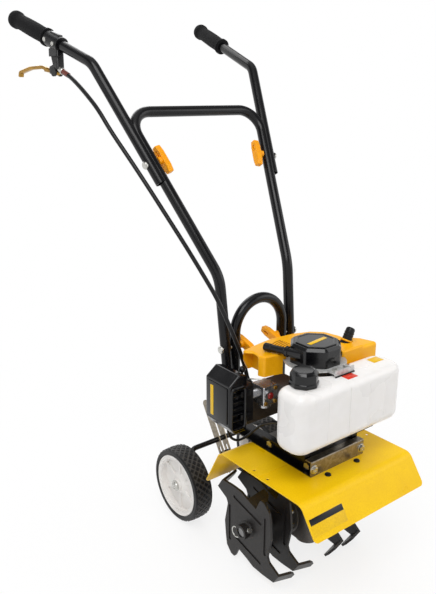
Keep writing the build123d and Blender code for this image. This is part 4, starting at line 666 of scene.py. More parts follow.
@dataclass
class Studio:
    """Plain pale floor, soft light and the camera at the photograph's angle."""

    machine: Machine
    camera_at: Point = (-865.84, -818.05, 926.58)
    pitch: float = 16.9585
    yaw: float = 37.694
    lens: float = 40.24
    lamps: Sequence[Lamp] = (
        Lamp("key", (-1300, -1050, 2800), (0, 150, 350), 1.8, 50.0),
        Lamp("fill", (1700, -1200, 1500), (0, 150, 400), 1.4, 9.0),
        Lamp("back", (300, 2100, 2100), (0, 200, 500), 1.6, 18.0),
    )
    floor_m: float = 60.0
    floor_z: float = -0.0005
    shadow_m: Pair = (0.35, 1.1)
    shadow_glow: float = 0.8
    # Height above the horizon and brightness: a white horizon, a darker band that gloss shows, a bright zenith
    seen_sky: Sequence[Pair] = ((0.0, 1.0), (0.42, 1.0), (0.52, 0.26), (0.75, 0.26), (1.0, 0.85))
    light_sky: Sequence[Pair] = ((0.0, 0.16), (0.4, 0.32), (1.0, 0.9))

    def build(self) -> None:
        """Make camera, floor, lamps and world."""
        scene = bpy.context.scene
        scene.view_settings.view_transform = "Standard"
        clear_selection()
        rotation = (math.radians(90 - self.pitch), 0, math.radians(-self.yaw))
        bpy.ops.object.camera_add(location=self.machine.at(*self.camera_at), rotation=rotation)
        camera = bpy.context.object
        camera.data.lens = self.lens
        camera.data.sensor_width = 36.0
        camera.data.sensor_fit = "AUTO"
        camera.data.clip_start = 0.05
        scene.camera = camera
        self.floor()
        for lamp in self.lamps:
            lamp.hang(self.machine)
        self.world()

    def floor(self) -> None:
        """Make a wide pale floor that keeps a soft shadow near the machine and fades to white."""
        clear_selection()
        bpy.ops.mesh.primitive_grid_add(
            x_subdivisions=8, y_subdivisions=8, size=self.floor_m, location=(0, 0, self.floor_z))
        floor = bpy.context.object
        floor.name = "studio_floor"
        bpy.ops.object.transform_apply(location=True, rotation=True, scale=True)
        material = bpy.data.materials.new("studio_floor_white")
        tree = bare_tree(material)
        diffuse = add_node(tree, "ShaderNodeBsdfDiffuse", {"Color": linear("#F4F4F4")})
        glow = add_node(tree, "ShaderNodeEmission", {"Color": linear("#FFFFFF"), "Strength": 1.0})
        place = add_node(tree, "ShaderNodeTexCoord").outputs["Object"]
        reach = add_node(tree, "ShaderNodeVectorMath", {0: place}, operation="LENGTH")
        fade = add_node(tree, "ShaderNodeMapRange", {
            "Value": reach.outputs["Value"], "From Min": self.shadow_m[0], "From Max": self.shadow_m[1],
            "To Min": self.shadow_glow, "To Max": 1.0,
        }, interpolation_type="SMOOTHSTEP")
        share = add_node(tree, "ShaderNodeMath", {0: seen_share(tree), 1: fade.outputs[0]}, operation="MULTIPLY")
        mix = add_node(tree, "ShaderNodeMixShader", {
            0: share.outputs[0], 1: diffuse.outputs[0], 2: glow.outputs[0],
        })
        add_node(tree, "ShaderNodeOutputMaterial", {0: mix.outputs[0]})
        floor.data.materials.append(material)

    def sky(self, tree: Tree, height: Socket, stops: Sequence[Pair]) -> Socket:
        """Make one grey sky that changes with the height above the horizon.

        Args:
            tree: World nodes.
            height: Upward part of the direction.
            stops: Pairs of height and brightness.

        Returns:
            The sky's shader.
        """
        ramp = add_node(tree, "ShaderNodeValToRGB", {0: height})
        while len(ramp.color_ramp.elements) < len(stops):
            ramp.color_ramp.elements.new(0.5)
        for element, (position, level) in zip(ramp.color_ramp.elements, stops):
            element.position = position
            element.color = (level, level, level, 1.0)
        return add_node(tree, "ShaderNodeBackground", {"Color": ramp.outputs[0], "Strength": 1.0}).outputs[0]

    def world(self) -> None:
        """Surround the object with the sky that is seen and the softer one that lights it."""
        world = bpy.data.worlds.new("studio_white")
        bpy.context.scene.world = world
        tree = bare_tree(world)
        way = add_node(tree, "ShaderNodeTexCoord").outputs["Generated"]
        height = add_node(tree, "ShaderNodeSeparateXYZ", {0: way}).outputs["Z"]
        seen = self.sky(tree, height, self.seen_sky)
        light = self.sky(tree, height, self.light_sky)
        mix = add_node(tree, "ShaderNodeMixShader", {0: seen_share(tree), 1: light, 2: seen})
        add_node(tree, "ShaderNodeOutputWorld", {0: mix.outputs[0]})


@dataclass
class Fittings:
    """A group of pieces on one machine, sized and placed in millimetres about its engine axis."""

    machine: Machine

    def place(self, spot: Point, way: Optional[Vector] = None) -> Matrix:
        """Give the place at a spot, unturned or with its Z axis along a way."""
        start = self.machine.at(*spot)
        return Matrix.Translation(start) if way is None else along(start, way)

    def route(self, spots: Sequence[Point]) -> List[Vector]:
        """Turn spots into points of the frame."""
        return [self.machine.at(*spot) for spot in spots]

    def add(self, piece: Piece, place: Matrix, smooth: Smooth, finish: Finish, slot: str,
            body: str = "machine") -> Piece:
        """Settle a piece and dress it."""
        return dress(settle(piece, place, smooth), finish, body)

    def plate(self, name: str, size: Point, spot: Point, bevel: float, finish: Finish, slot: str,
              soft: float = 0.0) -> Piece:
        """Add a plate that lies square to the machine: a crisp one, or a softer one that is rounded twice.

        Args:
            name: Piece name.
            size: Its three sides.
            spot: Its middle.
            bevel: Rounding of its edges.
            finish: Material to show.
            slot: Material slot of the record; not used.
            soft: Second rounding, or 0 for none.

        Returns:
            The dressed plate.
        """
        if soft:
            piece = soften(slab(name, size, bevel, segments=3), soft)
            return self.add(piece, self.place(spot), Smooth.ROUND, finish, slot)
        return self.add(slab(name, size, bevel), self.place(spot), Smooth.CRISP, finish, slot)


@dataclass
class HeldCord(Fittings):
    """A sheathed cable or hose that the machine holds at both ends, as one smooth tube."""

    name: str
    node: str
    diameter_mm: float
    route_mm: Sequence[Point]
    finish: Finish = HOSE_RUBBER
    slot: str = "black_rubber"

    def tube(self) -> Piece:
        """Model the tube on its route's smooth line."""
        return smooth_tube(self.name, self.route(self.route_mm), self.diameter_mm)

    def dress(self) -> None:
        """Model the tube, and let it stand for its CAD solid on the machine's own body."""
        piece = dress(self.tube(), self.finish)
        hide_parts(self.node)

    def dress_across(self, low: Point, high: Point) -> None:
        """Model and paint the tube, and let it stand for its CAD solid.

        Args:
            low: Point below which it stays with the machine; not used.
            high: Point above which it moves with the handlebar; not used.
        """
        piece = self.tube()
        paint(piece, self.finish)
        self.machine.at(*low)
        self.machine.at(*high)
        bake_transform(piece)
        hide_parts(self.node)
        LOG.info("piece %s bends between machine and handlebar", piece.name)


@dataclass
class FoamGrip(Fittings):
    """Foam sleeve on an upper handle, with a collar, a soft swell and a domed end."""

    side: str
    sign: int
    end: Point = (252.637, 708.821, 1086.8)
    run: Point = (43.3, 266.7, 99.7)
    length: float = 132.0
    radius: float = 17.0
    cap: float = 4.0
    bore: float = 11.6
    waist: float = 1.8
    # Height, and how far the sleeve stands out from its radius there
    collar: Rings = ((0.0, 1.2), (0.8, 2.0), (6.0, 2.0), (7.0, 1.2), (8.2, -1.8))
    # Shares of the length, and where on a sine wave the first one starts
    swell: Sequence[float] = (0.15, 0.3, 0.45, 0.6, 0.72)
    swell_start: float = 0.08
    # Depth below the end, and how far the sleeve stands out there
    dome: Rings = ((22.0, -0.8), (18.0, 1.6), (16.5, 2.0), (8.5, 2.0), (5.0, 1.0), (2.2, -1.6),
                   (0.5, -5.5), (0.0, -9.0), (0.9, -10.0), (0.9, -15.0))

    def build(self) -> None:
        """Model the sleeve and put it on its handle."""
        r, top, waist = self.radius, self.length + self.cap, self.waist
        rings = [(0.0, self.bore)] + [(z, r + step) for z, step in self.collar]
        for share in self.swell:
            rings.append((top * share, r - waist + waist * math.sin(math.pi * (self.swell_start + share))))
        rings += [(top - depth, r + step) for depth, step in self.dome]
        piece = turned(self.side + "_foam_grip", rings, segments=40)
        direction = Vector((self.run[0] * self.sign, self.run[1], self.run[2])).normalized()
        end = self.machine.at(self.end[0] * self.sign, self.end[1], self.end[2])
        place = along(end - direction * self.length * MM, direction)
        self.add(piece, place, Smooth.FOAM, FOAM_BLACK, "black_foam", "handlebar")
        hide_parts(self.side + "_grip")


@dataclass
class TreadedTyre(Fittings):
    """Solid tyre with raised diamond blocks on its tread, and the wheel's flanges beside it."""

    side: str
    sign: int
    radius: float = 84.5
    rim: float = 66.5
    flange: float = 70.0
    width: float = 45.0
    out_x: float = 144.0
    centre_y: float = 274.0
    steps: int = 96
    blocks: int = 34
    rows: int = 3
    groove: float = 2.6
    gap: float = 1.5
    lean: float = 0.4
    flat: float = 14.0
    crowning: float = 0.025

    def build(self) -> None:
        """Model carcass, tread, grooves and flanges, and put them on the wheel."""
        middle = (self.sign * (self.out_x - self.width / 2), self.centre_y, self.radius)
        place, wheel = self.place(middle, outward(self.sign)), self.side + "_wheel"
        # The paler groove floor is painted highlight
        rubber = ((self.carcass(), TYRE_BLACK), (self.tread(), TYRE_BLACK), (self.grooves(), TYRE_PAINTED_HIGHLIGHT))
        for piece, finish in rubber:
            self.add(piece, place, Smooth.TYRE, finish, "tyre", wheel)
            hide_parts(self.side + "_tyre")
        self.add(self.flanges(), place, Smooth.TYRE, WHEEL_WHITE, "white_plastic", wheel)

    def crown(self, z: float) -> float:
        """Say how far the tread lies below its middle at a distance from that middle."""
        return max(abs(z) - self.flat, 0.0) ** 2 * self.crowning

    def shell(self, name: str, rings: Rings) -> Piece:
        """Model a ring-shaped piece round the wheel's axis that is left open at its ends."""
        return turned(name, rings, self.steps, capped=False)

    def grooves(self) -> Piece:
        """Model the paler rubber in the grooves between the blocks: painted highlight.

        Returns:
            The closed band below the blocks.
        """
        half = self.width / 2 - 1.6
        floor = self.radius - self.groove + 0.5
        low = floor - 5.0
        shares = (-1.0, -0.8, -0.6, -0.3, 0.3, 0.6, 0.8, 1.0)
        rings = [(half * share, floor - self.crown(half * share)) for share in shares]
        rings += [(half, low), (-half, low), rings[0]]
        return self.shell(self.side + "_tyre_grooves", rings)

    def flanges(self) -> Piece:
        """Model the wheel's two pale flanges that stand in front of the tyre's beads.

        Returns:
            Both flanges as one object.
        """
        half, r, low = self.width / 2, self.flange, self.rim - 4.0
        profile = ((4.2, low), (4.2, r), (1.2, r), (0.4, r - 0.9), (0.4, r - 3.4), (1.8, r - 5.0),
                   (1.8, low), (4.2, low))
        name = self.side + "_rim_flanges"
        outer = self.shell(name, [(half - depth, radius) for depth, radius in profile])
        inner = self.shell("rim_flange_inner", [(depth - half, radius) for depth, radius in profile])
        return joined(name, [outer, inner])

    def carcass(self) -> Piece:
        """Model the smooth carcass with its side walls and bead.

        Returns:
            The closed carcass.
        """
        half, flange, floor = self.width / 2, self.flange, self.radius - self.groove
        rings = [(half - 4.8, self.rim + 0.3), (half - 4.8, flange + 0.4), (half - 1.0, flange + 0.6),
                 (half - 0.2, flange + 1.6), (half, flange + 3.0), (half - 0.6, flange + 4.0),
                 (half - 0.6, flange + 4.8), (half, flange + 5.8), (half - 0.2, floor - 2.2),
                 (half - 1.4, floor - 0.7), (half - 4.0, floor - 0.1), (half - 12.0, floor)]
        rings += [(-z, r) for z, r in rings[::-1]]
        piece = self.shell(self.side + "_tyre_carcass", rings)
        activate(piece)
        bpy.ops.object.mode_set(mode="EDIT")
        bpy.ops.mesh.select_all(action="DESELECT")
        bpy.ops.mesh.select_mode(type="EDGE")
        bpy.ops.mesh.select_non_manifold()
        bpy.ops.mesh.bridge_edge_loops()
        bpy.ops.mesh.select_all(action="SELECT")
        bpy.ops.mesh.normals_make_consistent(inside=False)
        bpy.ops.object.mode_set(mode="OBJECT")
        return piece

    def tread(self) -> Piece:
        """Model the diamond blocks: a ring of quads poked to diamonds, each inset and raised.

        Returns:
            The band of blocks.
        """
        half = self.width / 2 - 1.2
        floor = self.radius - self.groove - 0.2
        heights = [-half + 2 * half * row / self.rows for row in range(self.rows + 1)]
        rings = [(z, floor - self.crown(z)) for z in heights]
        piece = turned(self.side + "_tyre_tread", rings, self.blocks, capped=False)
        corners = len(piece.data.vertices)
        activate(piece)
        bpy.ops.object.mode_set(mode="EDIT")
        bpy.ops.mesh.select_all(action="SELECT")
        bpy.ops.mesh.poke()
        bpy.ops.mesh.select_all(action="DESELECT")
        bpy.ops.mesh.select_mode(type="EDGE")
        bpy.ops.object.mode_set(mode="OBJECT")
        for edge in piece.data.edges:
            edge.select = max(edge.vertices) < corners
        bpy.ops.object.mode_set(mode="EDIT")
        bpy.ops.mesh.dissolve_edges(use_verts=False)
        bpy.ops.mesh.select_mode(type="FACE")
        bpy.ops.mesh.select_all(action="SELECT")
        bpy.ops.mesh.inset(thickness=self.gap * MM, depth=0.0, use_individual=True)
        bpy.ops.mesh.inset(thickness=self.lean * MM, depth=self.groove * MM, use_individual=True)
        bpy.ops.object.mode_set(mode="OBJECT")
        return piece


@dataclass
class AxleEnds(Fittings):
    """Plain washers and domed push caps that keep the wheels on their axle."""

    out_x: float = 144.0
    sink: float = 1.9
    centre_y: float = 274.0
    centre_z: float = 84.5
    rings: Rings = ((0.0, 6.3), (0.0, 12.5), (1.4, 12.5), (1.6, 12.2), (1.7, 9.6), (3.2, 9.2), (5.2, 7.4),
                    (6.2, 4.6), (6.6, 1.2))

    def build(self) -> None:
        """Model one cap with its washer for each side."""
        for side, sign in SIDES:
            piece = turned(side + "_axle_cap", self.rings, segments=36)
            place = self.place((sign * (self.out_x - self.sink), self.centre_y, self.centre_z), outward(sign))
            self.add(piece, place, Smooth.ROUND, PLATED_STEEL, "zinc", "wheel_carrier")


@dataclass
class StarterLid(Fittings):
    """Raised eight-sided panel on the starter's lid, with one plain stripe."""

    top_z: float = 481.0
    radius: float = 41.0
    panel_turn: float = 22.5
    stripe: Point = (52.0, 9.0, 0.7)
    stripe_y: float = -4.0
    stripe_lift: float = 1.5
    stripe_turn: float = 8.0

    def build(self) -> None:
        """Model panel and stripe."""
        r = self.radius
        rings = [(-0.4, r), (1.2, r), (2.2, r - 1.2), (2.2, r - 5.0), (1.3, r - 6.0), (1.3, 4.0)]
        panel = turned("starter_lid_panel", rings, segments=8)
        place = self.place((0, 0, self.top_z)) @ turn_z(self.panel_turn)
        self.add(panel, place, Smooth.CRISP, COVER_BLACK, "black_plastic")
        stripe = slab("starter_lid_stripe", self.stripe, 0.3)
        place = self.place((0, self.stripe_y, self.top_z + self.stripe_lift)) @ turn_z(self.stripe_turn)
        self.add(stripe, place, Smooth.CRISP, FILM_YELLOW, "yellow_plastic")


@dataclass
class FacetedCap(Fittings):
    """Eight-sided fuel cap with a stepped skirt and a dished top."""

    centre: Pair = (-87.0, -58.0)
    low: float = 437.0
    high: float = 466.0
    bore: float = 21.5
    corner: float = 27.6
    turn: float = 10.0

    def build(self) -> None:
        """Model the cap and put it on the tank's neck."""
        tall, r = self.high - self.low, self.corner
        rings = [(tall - 13.0, self.bore), (0.0, self.bore), (0.0, r), (6.5, r), (8.5, r - 1.7),
                 (tall - 6.0, r - 1.7), (tall, r - 7.0), (tall - 1.6, r - 9.5), (tall - 1.6, 2.0)]
        cap = soften(turned("faceted_fuel_cap", rings, segments=8), 0.9)
        place = self.place((*self.centre, self.low)) @ turn_z(self.turn)
        self.add(cap, place, Smooth.ROUND, COVER_BLACK, "black_plastic", "fuel_cap")
        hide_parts("fuel_cap")


@dataclass
class TankTrim(Fittings):
    """Moulding seam and ridges on the tank, painted shadow under the tongue's lip, and two plain patches of film.
    """

    front_y: float = -105.0
    low_z: float = 320.0
    top_z: float = 436.0
    seam_x: float = -13.0
    seam_mm: float = 1.6
    # How far the seam runs back below and on top, and where it leaves the corners
    seam_back: Pair = (40.0, 30.0)
    seam_ease: Pair = (38.0, 32.0)
    ridge_x: Sequence[float] = (-68.0, 40.0, 84.0)
    ridge_runs: Sequence[float] = (18.0, 45.0, 70.0, 100.0)
    ridge_sink: float = 4.3
    ridge_mm: float = 10.0
    red: Point = (27.0, 17.0, 0.8)
    yellow: Point = (28.0, 20.0, 0.5)
    # Size of the black strip of painted shadow under the tongue's lip
    lip_shadow: Point = (51.0, 2.2, 2.4)

    def build(self) -> None:
        """Model the seam bead, the ridges, the strip of painted shadow and the patches."""
        y, low, top = self.front_y, self.low_z, self.top_z
        (back_low, back_top), (ease_low, ease_top) = self.seam_back, self.seam_ease
        path = ((y + back_low, low), (y, low), (y, low + ease_low), (y, (low + top) / 2), (y, top - ease_top),
                (y, top), (y + back_top, top))
        beads = [smooth_tube("tank_seam_bead", self.route([(self.seam_x, *spot) for spot in path]), self.seam_mm)]
        for x in self.ridge_x:
            line = self.route([(x, y + self.ridge_sink, low + run) for run in self.ridge_runs])
            beads.append(smooth_tube("tank_ridge", line, self.ridge_mm))
        dress(joined("tank_seam", beads), TANK_MILKY)
        self.plate("tank_patch_red", self.red, (5.5, y + 22.0, top - 0.1), 0.3, FILM_RED, "milky_plastic")
        # A thin black strip on the tank's top under the tongue's lip: painted shadow of the lip
        lip_shadow = soften(slab("tongue_lip_painted_shadow", self.lip_shadow, 0.5, segments=3), 0.3)
        self.add(lip_shadow, self.place((3.0, -73.6, top + 1.3)), Smooth.CRISP, HOSE_RUBBER, "black_rubber")
        self.plate("tank_patch_yellow", self.yellow, (104.0, -60.0, top + 0.1), 0.2, FILM_YELLOW, "milky_plastic")


@dataclass
class FilterTrim(Fittings):
    """Panel, yellow strip, pocket ribs and frame, foam block and side clips of the air filter."""

    out_x: float = -162.0
    split_x: float = -121.0
    front_y: float = 58.0
    middle_z: float = 366.5
    panel: Point = (4.0, 62.0, 74.0)
    strip: Point = (1.2, 9.0, 62.0)
    foam: Point = (28.4, 52.4, 67.4)
    foam_at: Point = (-135.5, 98.5, 364.0)
    rib: Point = (27.0, 5.0, 2.4)
    rib_z: Sequence[float] = (332.0, 345.0, 358.0, 371.0, 384.0)
    clip: Point = (24.0, 3.2, 11.0)
    clip_z: Sequence[float] = (336.0, 384.0)
    frame_z: Pair = (317.0, 402.0)
    frame_mm: float = 6.4
    # Shares of each side where the frame's line is held, which leaves its corners round
    frame_shares: Sequence[float] = (0.08, 0.35, 0.65, 0.92)

    def build(self) -> None:
        """Model the pieces from the cover's face to its clips."""
        x, z = self.out_x, self.middle_z
        self.plate("filter_panel", self.panel, (x - 0.6, 95.0, z), 1.6, COVER_BLACK, "black_plastic", soft=0.6)
        self.plate("filter_strip", self.strip, (x - 2.5, 108.5, z), 0.4, FILM_YELLOW, "yellow_plastic")
        ribs = []
        for rib_z in self.rib_z:
            place = self.place(((x + self.split_x) / 2 + 1.0, self.front_y + 5.6, rib_z))
            ribs.append(settle(slab("filter_rib", self.rib, 0.7), place, Smooth.CRISP))
        dress(joined("filter_pocket_ribs", ribs), NYLON_BLACK)
        dress(smooth_tube("filter_frame", self.frame(), self.frame_mm), COVER_BLACK)
        foam = self.plate("filter_foam_block", self.foam, self.foam_at, 3.0, FILTER_FOAM, "filter_foam", soft=0.8)
        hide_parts("air_filter_element")
        clips = []
        for clip_z in self.clip_z:
            clip = slab("filter_clip", self.clip, 1.2, segments=3)
            place = self.place((self.split_x + 1.0, self.front_y + 2.9, clip_z))
            clips.append(settle(clip, place, Smooth.CRISP))
        dress(joined("filter_clips", clips), NYLON_BLACK)

    def frame(self) -> List[Vector]:
        """Give the route of the frame round the pocket.

        Returns:
            Points of the frame's line, back to its start.
        """
        near, far, (low, high) = self.out_x + 5.0, self.split_x - 3.0, self.frame_z
        corners = ((near, low), (near, high), (far, high), (far, low))
        spots = []
        for (x, z), (next_x, next_z) in zip(corners, corners[1:] + corners[:1]):
            for share in self.frame_shares:
                spots.append((x + (next_x - x) * share, self.front_y - 0.4, z + (next_z - z) * share))
        return self.route(spots + spots[:1])


@dataclass
class ShieldTrim(Fittings):
    """Plain two-tone film on the shield's front, black screw heads and the seams of its side wings."""

    lip: Pair = (-162.3, 193.7)
    bend: Pair = (-124.6, 249.3)
    top_z: float = 249.3
    film: Point = (84.0, 32.0, 0.5)
    film_x: float = -104.5
    film_up: float = 26.0
    film_lift: float = 0.9
    band: float = 11.0
    band_lift: float = 0.25
    margin: float = 2.0
    head: Rings = ((0.0, 6.2), (1.2, 6.2), (2.6, 5.4), (3.6, 3.6), (3.6, 1.6), (2.8, 1.2))
    seam: Point = (74.0, 1.8, 0.9)

    def build(self) -> None:
        """Model film, screw heads and seams."""
        slope = Vector((0, self.bend[0] - self.lip[0], self.bend[1] - self.lip[1])).normalized()
        out = ACROSS.cross(slope)
        middle = self.machine.at(self.film_x, *self.lip) + slope * self.film_up * MM + out * self.film_lift * MM
        film = slab("shield_film", self.film, 0.2)
        self.add(film, framed(middle, ACROSS, out), Smooth.CRISP, FILM_YELLOW, "yellow_paint")
        wide, tall, thick = self.film
        band = slab("shield_film_band", (wide - self.margin, self.band, thick), 0.2)
        raised = middle + slope * (tall - self.band - self.margin) / 2 * MM + out * self.band_lift * MM
        self.add(band, framed(raised, ACROSS, out), Smooth.CRISP, FILM_BLACK, "yellow_paint")
        heads, seams = [], []
        for _, sign in SIDES:
            head = turned("shield_screw_head", self.head, segments=24)
            heads.append(settle(head, self.place((sign * 40.0, -84.0, self.top_z + 0.05)), Smooth.ROUND))
            seam = slab("shield_seam", self.seam, 0.35)
            seams.append(settle(seam, self.place((sign * 112.0, -10.5, self.top_z + 0.2)), Smooth.CRISP))
        dress(joined("shield_screw_heads", heads), CLAMP_BLACK)
        dress(joined("shield_seams", seams), SHEET_YELLOW)


@dataclass
class ThrottleTrim(Fittings):
    """Barrel and sleeve at the cable's upper end, and the clamp's screws and cap."""

    keeper: Point = (-233.465, 523.815, 971.568)
    way: Point = (0.14863, -0.91522, -0.37461)
    barrel: Rings = ((-12.0, 5.3), (-12.0, 6.2), (-11.2, 6.8), (-1.0, 6.8), (0.2, 6.0), (0.2, 4.4))
    sleeve: Rings = ((0.3, 4.5), (0.3, 5.4), (1.4, 5.7), (14.0, 5.5), (19.4, 5.3), (20.0, 4.5))
    clamp: Point = (-228.73, 561.57, 1031.76)
    grip_way: Point = (-0.1503, 0.926, 0.3462)
    screw_runs: Sequence[float] = (-15.0, 15.0)
    screw_out: float = 15.6
    cap: Point = (30.0, 12.0, 5.0)
    cap_up: float = 15.4

    def build(self) -> None:
        """Model the fittings on the handlebar."""
        place = self.place(self.keeper, Vector(self.way))
        barrel = turned("cable_barrel", self.barrel, segments=28)
        self.add(barrel, place, Smooth.ROUND, PLATED_STEEL, "zinc", "handlebar")
        sleeve = turned("cable_sleeve", self.sleeve, segments=28)
        self.add(sleeve, place, Smooth.ROUND, SLEEVE_BROWN, "black_rubber", "handlebar")
        clamp, grip_way = self.machine.at(*self.clamp), Vector(self.grip_way)
        down = (Vector((0, 0, -1)) - grip_way * -grip_way.z).normalized()
        out = grip_way.cross(down).normalized()
        screws = []
        for run in self.screw_runs:
            spot = clamp + grip_way * run * MM + out * self.screw_out * MM
            screws.append(settle(hex_head("clamp_screw", 8.0, 4.0), along(spot, out), Smooth.CRISP))
        dress(joined("clamp_screws", screws), PLATED_STEEL, "handlebar")
        cap = slab("clamp_cap", self.cap, 1.6, segments=3)
        place = framed(clamp - down * self.cap_up * MM, grip_way, down)
        self.add(cap, place, Smooth.ROUND, COVER_BLACK, "clamp_alloy", "handlebar")


@dataclass
class FrameTrim(Fittings):
    """Weld beads at the hoop's feet, and bolt heads on the front plate and the tank's tongue."""

    hoop_half: float = 64.0
    pivot_y: float = 163.0
    rail_top: float = 278.0
    weld: Rings = ((0.0, 11.0), (0.0, 14.2), (1.4, 13.4), (2.8, 12.0), (3.6, 11.0))
    plate_y: float = -71.5
    bolt_half: float = 64.9
    bolt_z: float = 263.5
    washer: Rings = ((0.0, 5.0), (0.0, 9.0), (1.0, 9.0), (1.3, 8.4), (1.3, 5.0))
    tongue: Point = (3.0, -62.0, 443.4)
    tongue_half: float = 15.0

    def build(self) -> None:
        """Model one bead, one bolt with its washer and one tongue bolt for each side."""
        beads, bolts = [], []
        for _, sign in SIDES:
            foot = self.place((sign * self.hoop_half, self.pivot_y, self.rail_top))
            beads.append(settle(turned("hoop_weld", self.weld, segments=36), foot, Smooth.SOFT))
            x, y, z = sign * self.bolt_half, self.plate_y, self.bolt_z
            bolts.append(settle(hex_head("plate_bolt", 12.0, 5.0), self.place((x, y, z), FORWARD), Smooth.CRISP))
            washer = turned("plate_washer", self.washer, segments=28)
            bolts.append(settle(washer, self.place((x, y + 0.2, z), FORWARD), Smooth.ROUND))
            x, y, z = self.tongue
            place = self.place((x + sign * self.tongue_half, y, z))
            bolts.append(settle(hex_head("tongue_bolt", 10.0, 4.4), place, Smooth.CRISP))
        dress(joined("hoop_welds", beads), TUBE_BLACK)
        dress(joined("plate_bolts", bolts), PLATED_STEEL)


@dataclass
class EngineTrim(Fittings):
    """Plug boot, primer bulb, choke rod, arcs of painted shade between the shroud's ribs, heat shield and screws
    round the engine.
    """

    boot_at: Point = (95.0, 10.0, 449.0)
    boot_way: Point = (0.45, 0.0, 0.89)
    loop: Rings = ((6.0, 9.3), (6.0, 11.0), (6.8, 11.8), (9.0, 11.8), (9.8, 11.0), (9.8, 9.3))
    boot: Rings = (
        (0.2, 5.4), (0.0, 10.6), (0.8, 11.1), (4.6, 11.1), (5.6, 9.7), (12.0, 9.5), (12.6, 10.1), (14.4, 10.1),
        (15.0, 9.5), (17.6, 9.5), (18.2, 10.1), (20.0, 10.1), (20.6, 9.5), (23.2, 9.4), (23.8, 10.0),
        (25.6, 10.0), (26.2, 9.3), (31.0, 9.2), (33.6, 8.4), (35.2, 6.6), (36.0, 4.2), (36.0, 1.2))
    primer_at: Point = (-75.4, 46.7, 374.0)
    bulb: Rings = ((0.0, 5.4), (0.0, 6.9), (6.2, 6.9), (8.0, 6.6), (9.4, 5.6), (10.3, 4.0), (10.7, 2.2),
                   (10.75, 0.6))
    rod: Sequence[Point] = ((-104, 84, 397), (-101, 74, 405), (-92, 60, 406), (-80, 50, 405), (-66, 50, 402),
                            (-60, 54, 391))
    rod_mm: float = 2.4
    # Arcs of painted shade between the shroud's ribs: radii, height, first angle, step and thickness
    shade_arc_radii: Sequence[float] = (67.0, 73.0, 79.0, 85.0, 91.0)
    shade_arc_z: float = 455.8
    shade_arc_from: float = 94.0
    shade_arc_step: float = 5.5
    shade_arc_mm: float = 2.6
    heat_shield: Point = (86.0, 2.4, 62.0)
    heat_shield_at: Point = (-59.0, 80.6, 335.0)
    screw: Rings = ((0.0, 4.2), (2.0, 4.2), (2.6, 3.6), (2.6, 1.4), (1.6, 1.2))
    screw_y: float = 44.1
    screw_xz: Sequence[Pair] = ((-84.5, 358.0), (-60.0, 386.0), (-60.0, 358.0))

    def build(self) -> None:
        """Model the soft pieces and then the hard ones."""
        place = self.place(self.boot_at, Vector(self.boot_way).normalized())
        loop = turned("boot_loop", self.loop, segments=32)
        self.add(loop, place, Smooth.ROUND, ABS_YELLOW, "yellow_plastic")
        boot = turned("rubber_plug_boot", self.boot, segments=36)
        self.add(boot, place, Smooth.ROUND, HOSE_RUBBER, "black_rubber")
        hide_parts("spark_plug_boot")
        bulb = turned("soft_primer_bulb", self.bulb, segments=36)
        self.add(bulb, self.place(self.primer_at, FORWARD), Smooth.SOFT, BULB_RED, "red_bulb", "primer_bulb")
        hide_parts("primer_bulb")
        dress(smooth_tube("choke_linkage", self.route(self.rod), self.rod_mm), PLATED_STEEL)
        # Dark arcs in the valleys between the shroud's ribs: painted shade
        dress(joined("shroud_painted_shade_arcs", self.shade_arc_tubes()), ABS_SHADE)
        self.plate("carb_heat_shield", self.heat_shield, self.heat_shield_at, 0.8, MUFFLER_STEEL, "cast_alloy",
                   soft=0.4)
        screws = []
        for x, z in self.screw_xz:
            screw = turned("carb_screw", self.screw, segments=20)
            screws.append(settle(screw, self.place((x, self.screw_y, z), FORWARD), Smooth.ROUND))
        dress(joined("carb_screws", screws), LEVER_BRASS)

    def shade_arc_tubes(self) -> List[Piece]:
        """Model the dark arcs of painted shade between the ribs on the shroud's top.

        Returns:
            One tube for each arc.
        """
        tubes = []
        for radius in self.shade_arc_radii:
            arc = []
            for step in range(7):
                spot = Vector((radius, 0, self.shade_arc_z))
                spot.rotate(Matrix.Rotation(math.radians(self.shade_arc_from + step * self.shade_arc_step), 3, "Z"))
                arc.append(spot)
            tubes.append(smooth_tube("shroud_painted_shade_arc", self.route(arc), self.shade_arc_mm))
        return tubes


@dataclass
class TineTrim(Fittings):
    """Weld beads where the tine plates meet their sleeves, and the gearbox's cover bolts."""

    shaft_y: float = 46.0
    shaft_z: float = 93.0
    outer: float = 125.0
    inner: float = 72.0
    sleeve: float = 15.0
    bolt_x: float = 25.9
    bolt_circle: float = 32.0
    bolt_angles: Sequence[float] = (-30.0, 30.0, 90.0, 150.0, 210.0)

    def build(self) -> None:
        """Model the beads and bolts."""
        r, y, z = self.sleeve, self.shaft_y, self.shaft_z
        rings = [(-0.2, r), (-0.2, r + 4.0), (1.0, r + 3.2), (2.6, r + 1.4), (3.6, r)]
        beads, bolts = [], []
        for _, sign in SIDES:
            out = outward(sign)
            for x in (self.outer, self.inner):
                bead = turned("tine_weld", rings, segments=36)
                beads.append(settle(bead, self.place((sign * x, y, z), out), Smooth.SOFT))
            for degrees in self.bolt_angles:
                angle, r_bolt = math.radians(degrees), self.bolt_circle
                spot = (sign * self.bolt_x, y + r_bolt * math.cos(angle), z - r_bolt * math.sin(angle))
                bolts.append(settle(hex_head("gearbox_bolt", 8.0, 4.0), self.place(spot, out), Smooth.CRISP))
        dress(joined("tine_welds", beads), TINE_GREY, "tines")
        dress(joined("gearbox_bolts", bolts), PLATED_STEEL)


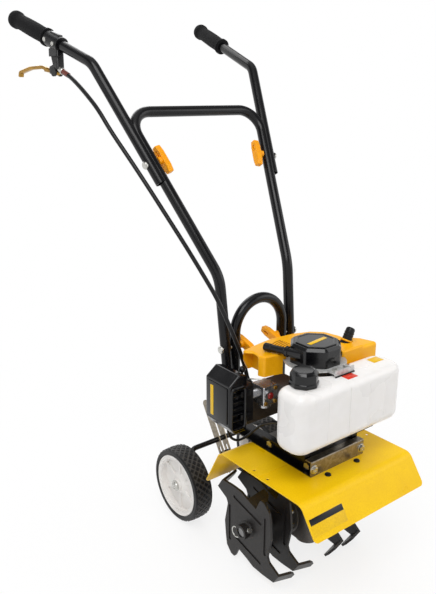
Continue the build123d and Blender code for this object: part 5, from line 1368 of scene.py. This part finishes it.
CABLE_MM = 8.5
CABLE_ROUTE: Sequence[Point] = (
    (-233.42, 523.54, 971.46), (-230.49, 505.51, 964.08), (-231.5, 470, 949), (-231, 432, 928), (-228, 390, 899),
    (-222, 357, 861), (-206, 311, 806), (-190, 269, 752), (-174, 232, 700), (-157, 197, 648), (-140, 165, 595.5),
    (-124, 144, 552), (-112, 127, 508), (-106, 120, 486), (-89, 119, 448), (-79, 118, 420), (-76, 114, 402),
    (-76, 106, 380), (-76, 86.3, 380))
CABLE_BEND = ((-113, 128, 512), (-190, 269, 752))
HOSE_MM = 5.2
HOSE_ROUTE: Sequence[Point] = (
    (-92, -30.7, 344), (-92, -11, 344), (-89, 10, 335), (-84, 34, 322), (-80, 57, 308), (-83, 75, 290),
    (-93, 88, 272), (-108, 99, 262), (-122, 106, 272), (-127, 107, 290), (-127, 107, 306.7))


@dataclass
class Tiller:
    """The whole machine: studio, cords, CAD finishes and every added piece, in order."""

    machine: Machine

    def finish_nodes(self, nodes: Dict[str, Piece]) -> None:
        """Give every CAD node its material.

        Args:
            nodes: CAD objects by node name.
        """
        for finish, names in NODE_FINISHES.items():
            for name in names:
                paint(nodes[name], finish)
                LOG.info("node %s gets %s", name, finish.name)

    def build(self, nodes: Dict[str, Piece]) -> None:
        """Build studio, cords, finishes and fittings.

        Args:
            nodes: CAD objects by node name.
        """
        Studio(self.machine).build()
        cable = HeldCord(self.machine, "throttle_cable_sheath", "throttle_cable", CABLE_MM, CABLE_ROUTE)
        cable.dress_across(*CABLE_BEND)
        HeldCord(self.machine, "fuel_hose", "fuel_line", HOSE_MM, HOSE_ROUTE).dress()
        self.finish_nodes(nodes)
        for side, sign in SIDES:
            FoamGrip(self.machine, side, sign).build()
            TreadedTyre(self.machine, side, sign).build()
        for trim in (AxleEnds, StarterLid, FacetedCap, TankTrim, FilterTrim, ShieldTrim, ThrottleTrim, FrameTrim,
                     EngineTrim, TineTrim):
            trim(self.machine).build()


def main() -> None:
    """Load the frame and build the tiller."""
    logging.basicConfig(level=logging.INFO, format="%(name)s: %(message)s")
    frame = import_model()
    Tiller(Machine.found()).build(frame["nodes"])
    clear_selection()


if __name__ == "__main__":
    main()
